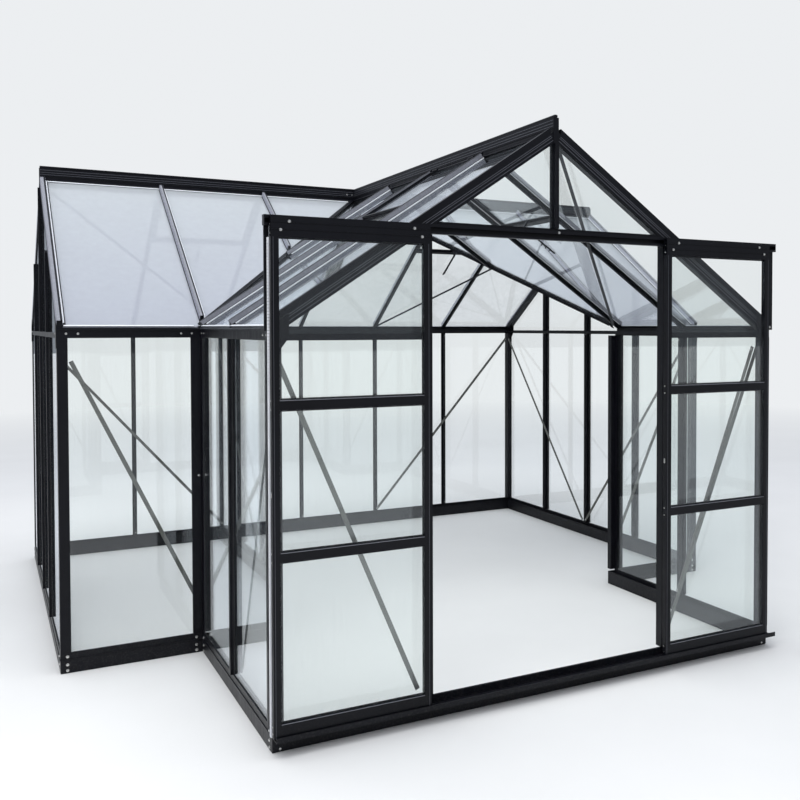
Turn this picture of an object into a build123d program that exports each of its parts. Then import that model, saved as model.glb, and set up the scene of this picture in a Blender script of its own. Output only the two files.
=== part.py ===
from build123d import *
import math
import os

# Main sizes of the greenhouse, millimetres. X runs along the house, Y to the back.
house_bay = 629.0
house_bays = 6
side_bay = 620.0
side_bays = 4
porch_bays = 2
porch_bay = 614.0
bar_margin = 35.0
roof_angle = 34.0

# Plinth and sill rail.
plinth_height = 64.0
plinth_depth = 40.0
plinth_wall = 3.0
sill_tall = 32.0
sill_nose = 3.0
sill_plate = 3.0
sill_back_lip = 12.0
pane_foot_up = 12.0

# The glazing bar, its depth counted inward from the outer face.
cap_wide = 26.0
cap_thick = 3.0
seat_depth = 8.0
pane_thick = 4.0
ledge_thick = 2.5
web_wide = 5.0
bulb_wide = 12.0
bulb_tall = 6.0
bar_depth = 42.0
roof_bar_depth = 26.0
pane_gap = 1.0

# The rib that stands out of the bars and rafters over the glass.
rib_wide = 20.0
bar_rib = 12.0
roof_rib = 24.0

# Corner posts, valley posts and door jambs.
post_cover = 44.0
rafter_cover = 40.0
post_front = 26.0
post_wall = 3.0
valley_cover = 45.0
valley_ledge = 15.0
jamb_wide = 23.0
jamb_lip = 11.0

# Eaves beam, and the height of the walls up to it.
eaves_low = 1578.0
eaves_tall = 58.0
eaves_lip = 12.0
eaves_depth = 38.0
eaves_box_tall = 16.0
eaves_seat = 14.0
eaves_wall = 3.0
eaves_nose = 6.0
eaves_nose_drop = 8.0
pane_tuck = 8.0

# Ridge, its half width and its steps above and below the roof's peak.
ridge_half = 14.0
ridge_drop = 56.0
ridge_stand = 12.0
ridge_band_tall = 46.0
ridge_bead_tall = 13.0
ridge_groove = 3.0
ridge_groove_tall = 6.0
bead_half = 9.0
bead_bevel = 3.0
ridge_wall = 3.0
flange_reach = 26.0
flange_thick = 3.0

# Valley bar.
valley_half = 9.0
valley_plate_half = 16.0
valley_drop = 24.0
valley_clear = 10.0
jack_inset = 17.0

# Door header behind the track, and its height over the eaves beam's foot.
header_rise = 455.0
header_tall = 24.0
header_lip = 8.0

# Flat braces and plates.
brace_wide = 20.0
brace_thick = 3.0
plate_thick = 3.0
plate_reach = 75.0
plate_drop = 48.0
plate_foot = 30.0
front_brace_inset = 31.0

# Roof vents.
vent_reach = 430.0
vent_top_gap = 2.0
vent_member = 24.0
vent_rim = 12.0
vent_height = 16.0
vent_flange = 4.0
stay_wide = 14.0
stay_thick = 4.0
stay_drop = 45.0
stay_long = 240.0

# Track over the doors, its struts and the guide below them.
track_past_corner = 25.0
track_over_leaf = 5.0
track_over_header = 18.0
track_tall = 40.0
track_depth = 28.0
track_wall = 3.0
track_low_lip = 10.0
track_top_lip = 12.0
strut_wide = 20.0
strut_thick = 6.0
strut_foot_tall = 20.0
strut_foot_wide = 36.0
guide_depth = 68.0
guide_wall = 3.0
guide_lip = 18.0

# Door leaves, as they stand in the photograph, with heights counted from a leaf's foot.
leaf_wide = 650.0
leaf_back = 34.0
leaf_thick = 24.0
leaf_clear = 11.0
leaf_wall = 2.5
stile_wide = 30.0
head_rail_tall = 80.0
bottom_rail_tall = 53.0
lower_rail_up = 685.0
upper_rail_up = 1261.0
mid_rail_tall = 38.0
fin_tall = 6.0
fin_depth = 14.0
rib_deep = 2.0
rib_groove = 5.0
left_leaf_inset = 17.0
right_leaf_inset = 72.0
roller_inset = 70.0
roller_radius = 16.0
roller_wide = 10.0
roller_clear = 0.5
roller_back = 12.0
axle_radius = 4.0

lead = 60.0
tangent = math.tan(math.radians(roof_angle))
cosine = math.cos(math.radians(roof_angle))
sine = math.sin(math.radians(roof_angle))
house_half = house_bays * house_bay / 2 + bar_margin
house_depth = side_bays * side_bay + 2 * bar_margin
porch_half = house_depth / 2
porch_depth = porch_bays * porch_bay + 2 * bar_margin
door_half = side_bay

sill_top = plinth_height + sill_tall
pane_foot = plinth_height + pane_foot_up
roof_edge_z = eaves_low + eaves_tall
eaves_box_low = eaves_low + eaves_lip
pane_head = eaves_low + pane_tuck
transom_z = eaves_low + cap_wide / 2
plate_low = eaves_low - plate_drop

peak_z = roof_edge_z + porch_half * tangent
ridge_low = peak_z - ridge_drop
ridge_band_low = peak_z + ridge_stand
ridge_band_top = ridge_band_low + ridge_band_tall
ridge_top = ridge_band_top + ridge_bead_tall

header_low = eaves_low + header_rise
header_top = header_low + header_tall
track_half = porch_half + track_past_corner
track_top = header_low + track_over_header
track_low = track_top - track_tall
track_lip_low = track_low + track_low_lip
track_lip_top = track_top - track_top_lip
leaf_low = plinth_height + leaf_clear
leaf_top = track_top - track_over_leaf
leaf_rail_low = leaf_top - head_rail_tall
bottom_rail_top = leaf_low + bottom_rail_tall
lower_rail_z = leaf_low + lower_rail_up
upper_rail_z = leaf_low + upper_rail_up
roller_z = track_low + track_wall + roller_radius + roller_clear
guide_lip_top = plinth_height + guide_lip
left_leaf_x = left_leaf_inset - track_half
right_leaf_x = track_half - right_leaf_inset - leaf_wide

back_edge = house_depth + max(eaves_nose, bar_rib)
front_edge = -porch_depth - guide_depth
middle_y = (back_edge + front_edge) / 2
up = Vector(0, 0, 1)

# The plan's corners, and the walls that start at each of them.
corners = [
    Vector(-porch_half, -porch_depth, 0),
    Vector(porch_half, -porch_depth, 0),
    Vector(porch_half, 0, 0),
    Vector(house_half, 0, 0),
    Vector(house_half, house_depth, 0),
    Vector(-house_half, house_depth, 0),
    Vector(-house_half, 0, 0),
    Vector(-porch_half, 0, 0),
]
wall_numbers = range(len(corners))
porch_front, porch_right, wing_right, right_end = wall_numbers[:4]
back_wall, left_end, wing_left, porch_left = wall_numbers[4:]

# Each roof slope: a foot point on the outer line, the way along it, the way inward.
back_slope = (Vector(0, house_depth, 0), Vector(1, 0, 0), Vector(0, -1, 0))
front_slope = (Vector(0, 0, 0), Vector(1, 0, 0), Vector(0, 1, 0))
left_slope = (Vector(-porch_half, 0, 0), Vector(0, 1, 0), Vector(1, 0, 0))
right_slope = (Vector(porch_half, 0, 0), Vector(0, 1, 0), Vector(-1, 0, 0))


def wall_start(number):
    return corners[number % len(corners)]


def wall_along(number):
    reach = wall_start(number + 1) - wall_start(number)
    return reach.normalized()


def wall_length(number):
    return (wall_start(number + 1) - wall_start(number)).length


def wall_outward(number):
    return wall_along(number).cross(up)


def on_slope(slope, place, reach, depth=0.0):
    foot, along, inward = slope
    height = roof_edge_z + reach * tangent - depth / cosine
    return foot + along * place + inward * reach + up * height


def slope_normal(slope):
    return slope[2] * -sine + up * cosine


def slope_rise(slope):
    return slope[2] * cosine + up * sine


def keep_after(solid, point, way):
    return split(solid, bisect_by=Plane(origin=point, z_dir=way), keep=Keep.TOP)


def keep_before(solid, point, way):
    return split(solid, bisect_by=Plane(origin=point, z_dir=way), keep=Keep.BOTTOM)


def mirrored_outline(right):
    left = [(-x, y) for x, y in reversed(right)]
    return right + left


def bar_side(depth):
    foot = seat_depth + ledge_thick
    return [
        (cap_wide / 2, 0),
        (cap_wide / 2, -cap_thick),
        (web_wide / 2, -cap_thick),
        (web_wide / 2, -seat_depth),
        (cap_wide / 2, -seat_depth),
        (cap_wide / 2, -foot),
        (web_wide / 2, -foot),
        (web_wide / 2, bulb_tall - depth),
        (bulb_wide / 2, bulb_tall - depth),
        (bulb_wide / 2, -depth),
    ]


def bar_outline(depth=bar_depth):
    return mirrored_outline(bar_side(depth))


# The upright bars carry the rib along their whole length.
def ribbed_outline():
    half = rib_wide / 2
    return mirrored_outline([(half, bar_rib), (half, 0)] + bar_side(bar_depth))


def rib_outline():
    return mirrored_outline([(rib_wide / 2, roof_rib), (rib_wide / 2, -cap_thick)])


def short_bar_outline():
    return mirrored_outline([
        (cap_wide / 2, 0),
        (cap_wide / 2, -cap_thick),
        (web_wide / 2, -cap_thick),
        (web_wide / 2, -seat_depth),
        (cap_wide / 2, -seat_depth),
        (cap_wide / 2, -seat_depth - ledge_thick),
    ])


def bar_head_outline():
    return mirrored_outline([
        (cap_wide / 2, 0),
        (cap_wide / 2, -cap_thick),
        (web_wide / 2, -cap_thick),
        (web_wide / 2, -seat_depth),
    ])


def corner_outline(side, cover):
    points = [
        (0, 0),
        (cover, 0),
        (cover, -cap_thick),
        (post_front, -cap_thick),
        (post_front, -seat_depth),
        (bar_depth, -seat_depth),
        (bar_depth, -bar_depth),
        (seat_depth, -bar_depth),
        (seat_depth, -post_front),
        (cap_thick, -post_front),
        (cap_thick, -cover),
        (0, -cover),
    ]
    return [(side * x, y) for x, y in points]


def corner_hole(side):
    near = seat_depth + post_wall
    far = bar_depth - post_wall
    points = [(near, -near), (far, -near), (far, -far), (near, -far)]
    return [(side * x, y) for x, y in points]


def corner_head_outline(side):
    points = [
        (0, 0),
        (rafter_cover, 0),
        (rafter_cover, -cap_thick),
        (post_front, -cap_thick),
        (post_front, -seat_depth),
        (0, -seat_depth),
    ]
    return [(side * x, y) for x, y in points]


def prism(plane, outline, length):
    face = plane * Polygon(*outline, align=None)
    way = plane.z_dir if length > 0 else plane.z_dir * -1
    return extrude(face, abs(length), dir=way)


def member(outline, origin, outward, axis, length, hole=None):
    plane = Plane(origin=origin, x_dir=outward.cross(axis), z_dir=axis)
    solid = prism(plane, outline, length)
    if hole:
        solid -= prism(plane, hole, length)
    return solid


def block(x0, x1, y0, y1, z0, z1):
    box = Box(x1 - x0, y1 - y0, z1 - z0, align=(Align.MIN, Align.MIN, Align.MIN))
    return Pos(x0, y0, z0) * box


# Horizontal pieces that follow the foot of the walls and the eaves.
def wall_run(number, outline, hole=None, open_start=False, open_end=False):
    start = wall_start(number)
    way = wall_along(number)
    length = wall_length(number)
    plane = Plane(origin=start - way * lead, x_dir=wall_outward(number), z_dir=way * -1)
    solid = prism(plane, outline, -(length + 2 * lead))
    if hole:
        solid -= prism(plane, hole, -(length + 2 * lead))
    first = way if open_start else way + wall_along(number - 1)
    last = way if open_end else way + wall_along(number + 1)
    solid = keep_after(solid, start, first)
    return keep_before(solid, start + way * length, last)


def plinth_run(number):
    wall = plinth_wall
    outline = [(0, 0), (0, plinth_height), (-plinth_depth, plinth_height), (-plinth_depth, 0)]
    hole = [
        (-wall, wall),
        (-wall, plinth_height - wall),
        (wall - plinth_depth, plinth_height - wall),
        (wall - plinth_depth, wall),
    ]
    return wall_run(number, outline, hole)


def sill_run(number):
    plate = plinth_height + sill_plate
    outline = [
        (sill_nose, plinth_height),
        (sill_nose, plate),
        (0, plate),
        (0, sill_top),
        (-cap_thick, sill_top),
        (-cap_thick, pane_foot),
        (-seat_depth, pane_foot),
        (-seat_depth, sill_top),
        (-seat_depth - ledge_thick, sill_top),
        (-seat_depth - ledge_thick, plate),
        (-plinth_depth + ledge_thick, plate),
        (-plinth_depth + ledge_thick, plate + sill_back_lip),
        (-plinth_depth, plate + sill_back_lip),
        (-plinth_depth, plinth_height),
    ]
    return wall_run(number, outline)


def eaves_height(depth):
    return roof_edge_z + depth * tangent - seat_depth / cosine


# A low box with a tall outer face, whose top leans in under the sheets.
def eaves_run(number, open_start, open_end):
    wall = eaves_wall
    nose_z = eaves_height(-eaves_nose)
    box_top = eaves_box_low + eaves_box_tall
    top_wall = wall / cosine
    outline = [
        (0, eaves_low),
        (0, nose_z - eaves_nose_drop),
        (eaves_nose, nose_z - eaves_nose_drop),
        (eaves_nose, nose_z),
        (-eaves_seat, eaves_height(eaves_seat)),
        (-eaves_seat, eaves_height(eaves_seat) - top_wall),
        (-wall, eaves_height(wall) - top_wall),
        (-wall, box_top),
        (-eaves_depth, box_top),
        (-eaves_depth, eaves_box_low),
        (-seat_depth - ledge_thick, eaves_box_low),
        (-seat_depth - ledge_thick, eaves_low),
        (-seat_depth, eaves_low),
        (-seat_depth, eaves_box_low),
        (-cap_thick, eaves_box_low),
        (-cap_thick, eaves_low),
    ]
    hole = [
        (-wall, eaves_box_low + wall),
        (-wall, box_top - wall),
        (wall - eaves_depth, box_top - wall),
        (wall - eaves_depth, eaves_box_low + wall),
    ]
    return wall_run(number, outline, hole, open_start, open_end)


# Upright pieces of the walls.
def wall_bar(number, place):
    origin = wall_start(number) + wall_along(number) * place + up * sill_top
    return member(ribbed_outline(), origin, wall_outward(number), up, eaves_low - sill_top)


def corner_post(number):
    origin = wall_start(number) + up * sill_top
    outward = wall_outward(number)
    side = -1 if outward.cross(up).dot(wall_along(number)) < 0 else 1
    height = eaves_low - sill_top
    solid = member(corner_outline(side, post_cover), origin, outward, up, height, corner_hole(side))
    if number not in (porch_front, porch_right):
        return solid
    near = math.copysign(porch_half, origin.X)
    far = near + math.copysign(bar_rib, near)
    low, high = min(near, far), max(near, far)
    edge = -porch_depth
    return solid + block(low, high, edge, edge + post_front, sill_top, eaves_low)


def valley_post(side):
    cover = valley_cover
    ledge = valley_ledge
    back = seat_depth + post_wall
    points = [
        (-cover, 0),
        (0, 0),
        (0, -cover),
        (cap_thick, -cover),
        (cap_thick, 0),
        (seat_depth, 0),
        (seat_depth, -ledge),
        (back, -ledge),
        (back, seat_depth),
        (bar_depth, seat_depth),
        (bar_depth, bar_depth),
        (seat_depth, bar_depth),
        (seat_depth, back),
        (-ledge, back),
        (-ledge, seat_depth),
        (0, seat_depth),
        (0, cap_thick),
        (-cover, cap_thick),
    ]
    far = bar_depth - post_wall
    hole = [(back, back), (far, back), (far, far), (back, far)]
    place = Plane(origin=Vector(side * porch_half, 0, sill_top))
    height = eaves_low - sill_top
    points = [(-side * x, y) for x, y in points]
    hole = [(-side * x, y) for x, y in hole]
    solid = prism(place, points, height)
    return solid - prism(place, hole, height)


def door_jamb(side):
    foot = seat_depth + ledge_thick
    inner = web_wide / 2 - jamb_wide
    outer = web_wide / 2
    points = [
        (inner, 0),
        (outer + jamb_lip, 0),
        (outer + jamb_lip, cap_thick),
        (outer, cap_thick),
        (outer, seat_depth),
        (outer + jamb_lip, seat_depth),
        (outer + jamb_lip, foot),
        (outer, foot),
        (outer, bar_depth),
        (inner, bar_depth),
    ]
    wall = post_wall
    hole = [
        (inner + wall, wall),
        (outer - wall, wall),
        (outer - wall, bar_depth - wall),
        (inner + wall, bar_depth - wall),
    ]
    points = [(side * x, y) for x, y in points]
    hole = [(side * x, y) for x, y in hole]
    place = Plane(origin=Vector(side * door_half, -porch_depth, sill_top))
    height = ridge_low - sill_top
    solid = prism(place, points, height)
    solid -= prism(place, hole, height)
    slope = left_slope if side < 0 else right_slope
    return under_slope(solid, slope, bar_depth)


def under_slope(solid, slope, depth):
    return keep_before(solid, on_slope(slope, 0, 0, depth), slope_normal(slope))


def gable_slopes(number):
    if number == porch_front:
        return left_slope, right_slope
    return front_slope, back_slope


def gable_bar(number, place):
    low = transom_z + cap_wide / 2
    origin = wall_start(number) + wall_along(number) * place + up * low
    solid = member(ribbed_outline(), origin, wall_outward(number), up, ridge_low - low)
    for slope in gable_slopes(number):
        solid = under_slope(solid, slope, bar_depth)
    return solid


def gable_transom(number, first, last):
    way = wall_along(number)
    origin = wall_start(number) + way * first + up * transom_z
    return member(bar_outline(), origin, wall_outward(number), way, last - first)


def door_header():
    reach = door_half + web_wide / 2 - jamb_wide
    lip = header_top + header_lip
    outline = [
        (0, header_low),
        (0, lip),
        (-cap_thick, lip),
        (-cap_thick, header_top),
        (-seat_depth, header_top),
        (-seat_depth, lip),
        (-seat_depth - ledge_thick, lip),
        (-seat_depth - ledge_thick, header_top),
        (-bar_depth, header_top),
        (-bar_depth, header_low),
    ]
    wall = post_wall
    hole = [
        (-wall, header_low + wall),
        (-wall, header_top - wall),
        (wall - bar_depth, header_top - wall),
        (wall - bar_depth, header_low + wall),
    ]
    origin = Vector(-reach, -porch_depth, 0)
    plane = Plane(origin=origin, x_dir=wall_outward(porch_front), z_dir=Vector(-1, 0, 0))
    solid = prism(plane, outline, -2 * reach)
    solid -= prism(plane, hole, -2 * reach)
    for slope in (left_slope, right_slope):
        solid = under_slope(solid, slope, bar_depth)
    return solid


def gable_post():
    low = header_top + header_lip
    origin = Vector(0, -porch_depth, low)
    return member(ribbed_outline(), origin, Vector(0, -1, 0), up, ridge_low - low)


# Roof pieces.
def slope_member(slope, place, outline, first, last, hole=None):
    rise = slope_rise(slope)
    length = (last - first + 2 * lead) / cosine
    origin = on_slope(slope, place, first - lead)
    solid = member(outline, origin, slope_normal(slope), rise, length, hole)
    solid = keep_after(solid, on_slope(slope, place, first), slope[2])
    return keep_before(solid, on_slope(slope, place, last), slope[2])


# A rib along the top of a bar, from the eaves to the ridge's flange.
def slope_rib(slope, place, outline):
    return slope_member(slope, place, outline, 0, porch_half - flange_reach - pane_gap)


def roof_bar(slope, place):
    top = porch_half - ridge_half
    foot = eaves_seat + pane_gap
    stem = slope_member(slope, place, bar_outline(roof_bar_depth), foot, top)
    stem += slope_member(slope, place, bar_head_outline(), 0, foot)
    return stem + slope_rib(slope, place, rib_outline())


def valley_side(solid, slope, side, clear):
    shift = clear * math.sqrt(2)
    if slope in (left_slope, right_slope):
        point = Vector(side * porch_half, -shift, 0)
        return keep_before(solid, point, Vector(side, 1, 0))
    point = Vector(side * porch_half, shift, 0)
    return keep_after(solid, point, Vector(side, 1, 0))


def jack_bar(slope, place, side):
    top = porch_half - ridge_half
    foot = eaves_seat + pane_gap
    solid = slope_member(slope, place, bar_outline(roof_bar_depth), foot, top)
    solid = valley_side(solid, slope, side, valley_clear)
    rib = slope_rib(slope, place, rib_outline())
    return solid + valley_side(rib, slope, side, valley_plate_half + pane_gap)


def gable_rafter(number, slope):
    facing = wall_outward(number).dot(slope[1])
    side_way = slope_normal(slope).cross(slope_rise(slope))
    side = -1 if side_way.dot(wall_outward(number)) > 0 else 1
    top = porch_half - ridge_half
    place = house_half if facing > 0 else -house_half
    if number == porch_front:
        place = -porch_depth
    outline = corner_outline(side, rafter_cover)
    stem = slope_member(slope, place, outline, eaves_depth, top, corner_hole(side))
    stem += slope_member(slope, place, corner_head_outline(side), 0, eaves_depth)
    far = side * post_front
    rib = [(0, roof_rib), (far, roof_rib), (far, -cap_thick), (0, -cap_thick)]
    return stem + slope_rib(slope, place, rib)


def ridge_outline():
    def roof_z(half, rise):
        return roof_edge_z + (porch_half - half) * tangent + rise / cosine

    half = ridge_half
    right = [
        (bead_half - bead_bevel, ridge_top),
        (bead_half, ridge_top - bead_bevel),
        (bead_half, ridge_band_top + bead_bevel),
        (bead_half - bead_bevel, ridge_band_top),
        (half, ridge_band_top),
        (half, ridge_band_low),
        (half - ridge_groove, ridge_band_low),
        (half - ridge_groove, ridge_band_low - ridge_groove_tall),
        (half, ridge_band_low - ridge_groove_tall),
        (half, roof_z(half, flange_thick)),
        (flange_reach, roof_z(flange_reach, flange_thick)),
        (flange_reach, roof_z(flange_reach, 0)),
        (half, roof_z(half, 0)),
        (half, ridge_low),
    ]
    return mirrored_outline(right)


def ridge_hole():
    side = ridge_half - ridge_wall - ridge_groove
    low = ridge_low + ridge_wall
    top = ridge_band_top - ridge_wall
    return [(side, low), (side, top), (-side, top), (-side, low)]


def ridge_solid(origin, outward, length):
    plane = Plane(origin=origin, x_dir=outward, z_dir=outward.cross(up))
    solid = prism(plane, ridge_outline(), length)
    return solid - prism(plane, ridge_hole(), length)


def main_ridge():
    start = Vector(house_half, porch_half, 0)
    solid = ridge_solid(start, Vector(0, -1, 0), 2 * house_half)
    reach = flange_reach + lead
    outline = [(0, 0), (reach, -reach), (-reach, -reach)]
    notch = prism(Plane(origin=Vector(0, porch_half, 0)), outline, ridge_top + lead)
    notch -= block(-reach, reach, porch_half - ridge_half, porch_half, 0, ridge_top + lead)
    return solid - notch


def porch_ridge():
    start = Vector(0, -porch_depth, 0)
    solid = ridge_solid(start, Vector(1, 0, 0), -(porch_depth + porch_half + lead))
    reach = porch_half + porch_depth + lead
    outline = [(0, 0), (reach, -reach), (-reach, -reach)]
    shape = prism(Plane(origin=Vector(0, porch_half, 0)), outline, ridge_top + lead)
    shape -= block(-reach, reach, porch_half - ridge_half, porch_half, 0, ridge_top + lead)
    return solid & shape


def valley_piece(outline, start, stop, limit):
    way = Vector(1, 1, 0).normalized()
    rise = Vector(1, 1, tangent)
    across = Vector(-1, 1, 0).normalized()
    foot = Vector(-porch_half, 0, roof_edge_z)
    origin = foot + rise * (start / math.sqrt(2))
    face = Plane(origin=origin, x_dir=across, z_dir=way) * Polygon(*outline, align=None)
    length = (stop - start) / math.sqrt(2) * rise.length
    solid = extrude(face, length, dir=rise.normalized())
    solid = keep_before(solid, Vector(-limit, 0, 0), Vector(1, 0, 0))
    return keep_before(solid, Vector(0, porch_half - limit, 0), Vector(0, 1, 0))


def valley_bar(side):
    fall = tangent / math.sqrt(2)
    half = valley_half
    wide = valley_plate_half
    thick = flange_thick / cosine
    core = [(half, half * fall), (half, -valley_drop), (-half, -valley_drop), (-half, half * fall), (0, 0)]
    plate = [
        (wide, wide * fall),
        (wide, wide * fall + thick),
        (0, thick),
        (-wide, wide * fall + thick),
        (-wide, wide * fall),
        (0, 0),
    ]
    full = porch_half * math.sqrt(2)
    start = eaves_depth * math.sqrt(2)
    wall = post_wall
    inner = half - wall
    hollow = [
        (inner, inner * fall - wall - wall),
        (inner, wall - valley_drop),
        (-inner, wall - valley_drop),
        (-inner, inner * fall - wall - wall),
        (0, -wall - wall),
    ]
    solid = valley_piece(core, start, full, ridge_half)
    solid -= valley_piece(hollow, start - wall, full + lead, ridge_half)
    solid += valley_piece(plate, plate_thick, full, flange_reach)
    return solid if side < 0 else mirror(solid, Plane.YZ)


# Glass.
def wall_pane(number, first, last, foot=pane_foot, head=pane_head):
    return gable_shape(number, [(first, foot), (last, foot), (last, head), (first, head)])


def gable_shape(number, points):
    origin = wall_start(number) - wall_outward(number) * seat_depth
    plane = Plane(origin=origin, x_dir=wall_along(number), z_dir=wall_outward(number))
    return prism(plane, points, pane_thick)


def gable_pane(number, first, last, foot):
    total = wall_length(number)
    flat = ridge_low - 2 * pane_gap

    def top(place):
        reach = min(place, total - place)
        return roof_edge_z + reach * tangent - (post_front + pane_gap) / cosine

    points = [(first, foot), (last, foot)]
    for place in (last, first):
        if top(place) <= flat:
            points.append((place, top(place)))
        else:
            points.append((place, flat))
    reach = (flat + (post_front + pane_gap) / cosine - roof_edge_z) / tangent
    if top(last) > flat >= top(first):
        points.insert(3, (reach, flat))
    if top(first) > flat >= top(last):
        points.insert(3, (total - reach, flat))
    return gable_shape(number, points)


def clip(points, a, b, limit):
    kept = []
    for index, (x1, y1) in enumerate(points):
        x0, y0 = points[index - 1]
        before = a * x0 + b * y0 - limit
        after = a * x1 + b * y1 - limit
        if before * after < 0:
            part = before / (before - after)
            kept.append((x0 + (x1 - x0) * part, y0 + (y1 - y0) * part))
        if after <= 0:
            kept.append((x1, y1))
    return kept


# A sheet lying on a slope, its outline given along the eaves and inward from them.
def slope_sheet(slope, points, depth, thick):
    origin = on_slope(slope, 0, 0, depth)
    normal = slope_normal(slope)
    turn = normal.cross(slope[1]).dot(slope_rise(slope))
    plane = Plane(origin=origin, x_dir=slope[1], z_dir=normal)
    points = [(place, turn * reach / cosine) for place, reach in points]
    return prism(plane, points, thick)


# The same kind of sheet, measured square to the slope from its outer face.
def square_sheet(slope, points, depth, thick):
    shift = slope_normal(slope) * -depth - (on_slope(slope, 0, 0, depth) - on_slope(slope, 0, 0))
    return Pos(*shift) * slope_sheet(slope, points, depth, thick)


def roof_pane(slope, first, last, low, high, valley=0):
    points = [(first, low), (last, low), (last, high), (first, high)]
    if valley:
        points = clip_valley(slope, points, valley)
    return slope_sheet(slope, points, seat_depth, pane_thick)


# Cuts an outline back from the valley line of one side.
def clip_valley(slope, points, side):
    clear = (valley_clear + 2 * pane_gap) * math.sqrt(2)
    if slope in (left_slope, right_slope):
        return clip(points, 1, -1, -clear)
    return clip(points, -side, -1, -porch_half - clear)


def back_wall_places():
    return [bar_margin + house_bay * step for step in range(1, house_bays)]


def end_places():
    return [bar_margin + side_bay * step for step in range(1, side_bays)]


def row_of_panes(number, places, first_edge, last_edge):
    gap = web_wide / 2 + pane_gap
    edges = [first_edge]
    for place in places:
        edges += [place - gap, place + gap]
    edges.append(wall_length(number) - last_edge)
    return [wall_pane(number, edges[i], edges[i + 1]) for i in range(0, len(edges), 2)]


# Flat braces behind the bars.
def strip_points(start, end):
    x0, y0 = start
    x1, y1 = end
    length = math.hypot(x1 - x0, y1 - y0)
    dx = -(y1 - y0) / length * brace_wide / 2
    dy = (x1 - x0) / length * brace_wide / 2
    return [(x0 + dx, y0 + dy), (x1 + dx, y1 + dy), (x1 - dx, y1 - dy), (x0 - dx, y0 - dy)]


def wall_brace(number, start, end):
    origin = wall_start(number) - wall_outward(number) * (bar_depth + brace_thick)
    plane = Plane(origin=origin, x_dir=wall_along(number), z_dir=wall_outward(number))
    return prism(plane, strip_points(start, end), brace_thick)


def roof_brace(slope, start, end):
    points = strip_points((start[0], start[1] / cosine), (end[0], end[1] / cosine))
    points = [(place, rise * cosine) for place, rise in points]
    return slope_sheet(slope, points, roof_bar_depth + brace_thick, brace_thick)


def corner_plate(number, at_end):
    total = wall_length(number)

    def edge(reach):
        return roof_edge_z + reach * tangent - cap_thick

    points = [
        (1, plate_low),
        (plate_foot, plate_low),
        (plate_reach, eaves_box_low),
        (plate_reach, edge(plate_reach)),
        (1, edge(1)),
    ]
    if at_end:
        points = [(total - reach, height) for reach, height in points]
    origin = wall_start(number)
    plane = Plane(origin=origin, x_dir=wall_along(number), z_dir=wall_outward(number))
    return prism(plane, points, plate_thick)


def ridge_end_plate(number):
    total = wall_length(number)
    half = ridge_half
    points = [(total / 2 - half, ridge_low), (total / 2 + half, ridge_low)]
    points += [(total / 2 + half, ridge_band_top), (total / 2 - half, ridge_band_top)]
    plane = Plane(
        origin=wall_start(number), x_dir=wall_along(number), z_dir=wall_outward(number)
    )
    return prism(plane, points, plate_thick)


# Roof vents.
def vent_spans():
    spans = []
    step = house_bay
    spans.append((back_slope, -2 * step, -step))
    spans.append((back_slope, step, 2 * step))
    low = bar_margin + porch_bay - porch_depth
    spans.append((left_slope, low, low + porch_bay))
    spans.append((right_slope, low, low + porch_bay))
    return spans


# The outer edges of a vent, which lies between the ribs of two bars.
def vent_edges(first, last):
    side = rib_wide / 2 + pane_gap
    high = porch_half - flange_reach - vent_top_gap
    return first + side, last - side, porch_half - vent_reach, high


def vent_frame(slope, first, last):
    first, last, low, high = vent_edges(first, last)

    def ring(width, thick):
        outer = [(first, low), (last, low), (last, high), (first, high)]
        step = width * cosine
        inner = [
            (first + width, low + step),
            (last - width, low + step),
            (last - width, high - step),
            (first + width, high - step),
        ]
        return square_sheet(slope, outer, 0, thick) - square_sheet(slope, inner, 0, thick)

    return ring(vent_member, vent_flange) + ring(vent_rim, vent_height)


def vent_pane(slope, first, last):
    first, last, low, high = vent_edges(first, last)
    side = vent_rim + pane_gap
    step = side * cosine
    points = [
        (first + side, low + step),
        (last - side, low + step),
        (last - side, high - step),
        (first + side, high - step),
    ]
    return square_sheet(slope, points, -vent_flange, pane_thick)


def vent_rest(slope, first, last):
    half = cap_wide / 2
    origin = on_slope(slope, first + half, porch_half - vent_reach)
    length = last - first - cap_wide
    return member(short_bar_outline(), origin, slope_normal(slope), slope[1], length)


def vent_stay(slope, first, last):
    centre = (first + last) / 2
    half = stay_wide / 2
    near = porch_half - vent_reach + (cap_wide / 2 + pane_gap) * cosine
    far = near + (vent_member - cap_wide / 2 - 2 * pane_gap) * cosine
    leg = [(centre - half, near), (centre + half, near), (centre + half, far), (centre - half, far)]
    low = near - stay_long * cosine
    arm = [(centre - half, low), (centre + half, low), (centre + half, far), (centre - half, far)]
    solid = square_sheet(slope, leg, stay_drop, stay_drop)
    return solid + square_sheet(slope, arm, stay_drop, stay_thick)


# Door track, struts and guide.
def door_track():
    front = -porch_depth - track_depth
    wall = track_wall
    outline = [
        (0, track_low),
        (-track_depth, track_low),
        (-track_depth, track_lip_low),
        (wall - track_depth, track_lip_low),
        (wall - track_depth, track_low + wall),
        (-wall, track_low + wall),
        (-wall, track_top - wall),
        (wall - track_depth, track_top - wall),
        (wall - track_depth, track_lip_top),
        (-track_depth, track_lip_top),
        (-track_depth, track_top),
        (0, track_top),
    ]
    plane = Plane(
        origin=Vector(-track_half, -porch_depth, 0), x_dir=Vector(0, 1, 0), z_dir=Vector(1, 0, 0)
    )
    solid = prism(plane, outline, 2 * track_half)
    for side in (-1, 1):
        near = side * track_half
        far = side * (track_half - wall)
        low, high = min(near, far), max(near, far)
        solid += block(low, high, front, -porch_depth, track_low, track_top)
    return solid


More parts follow.
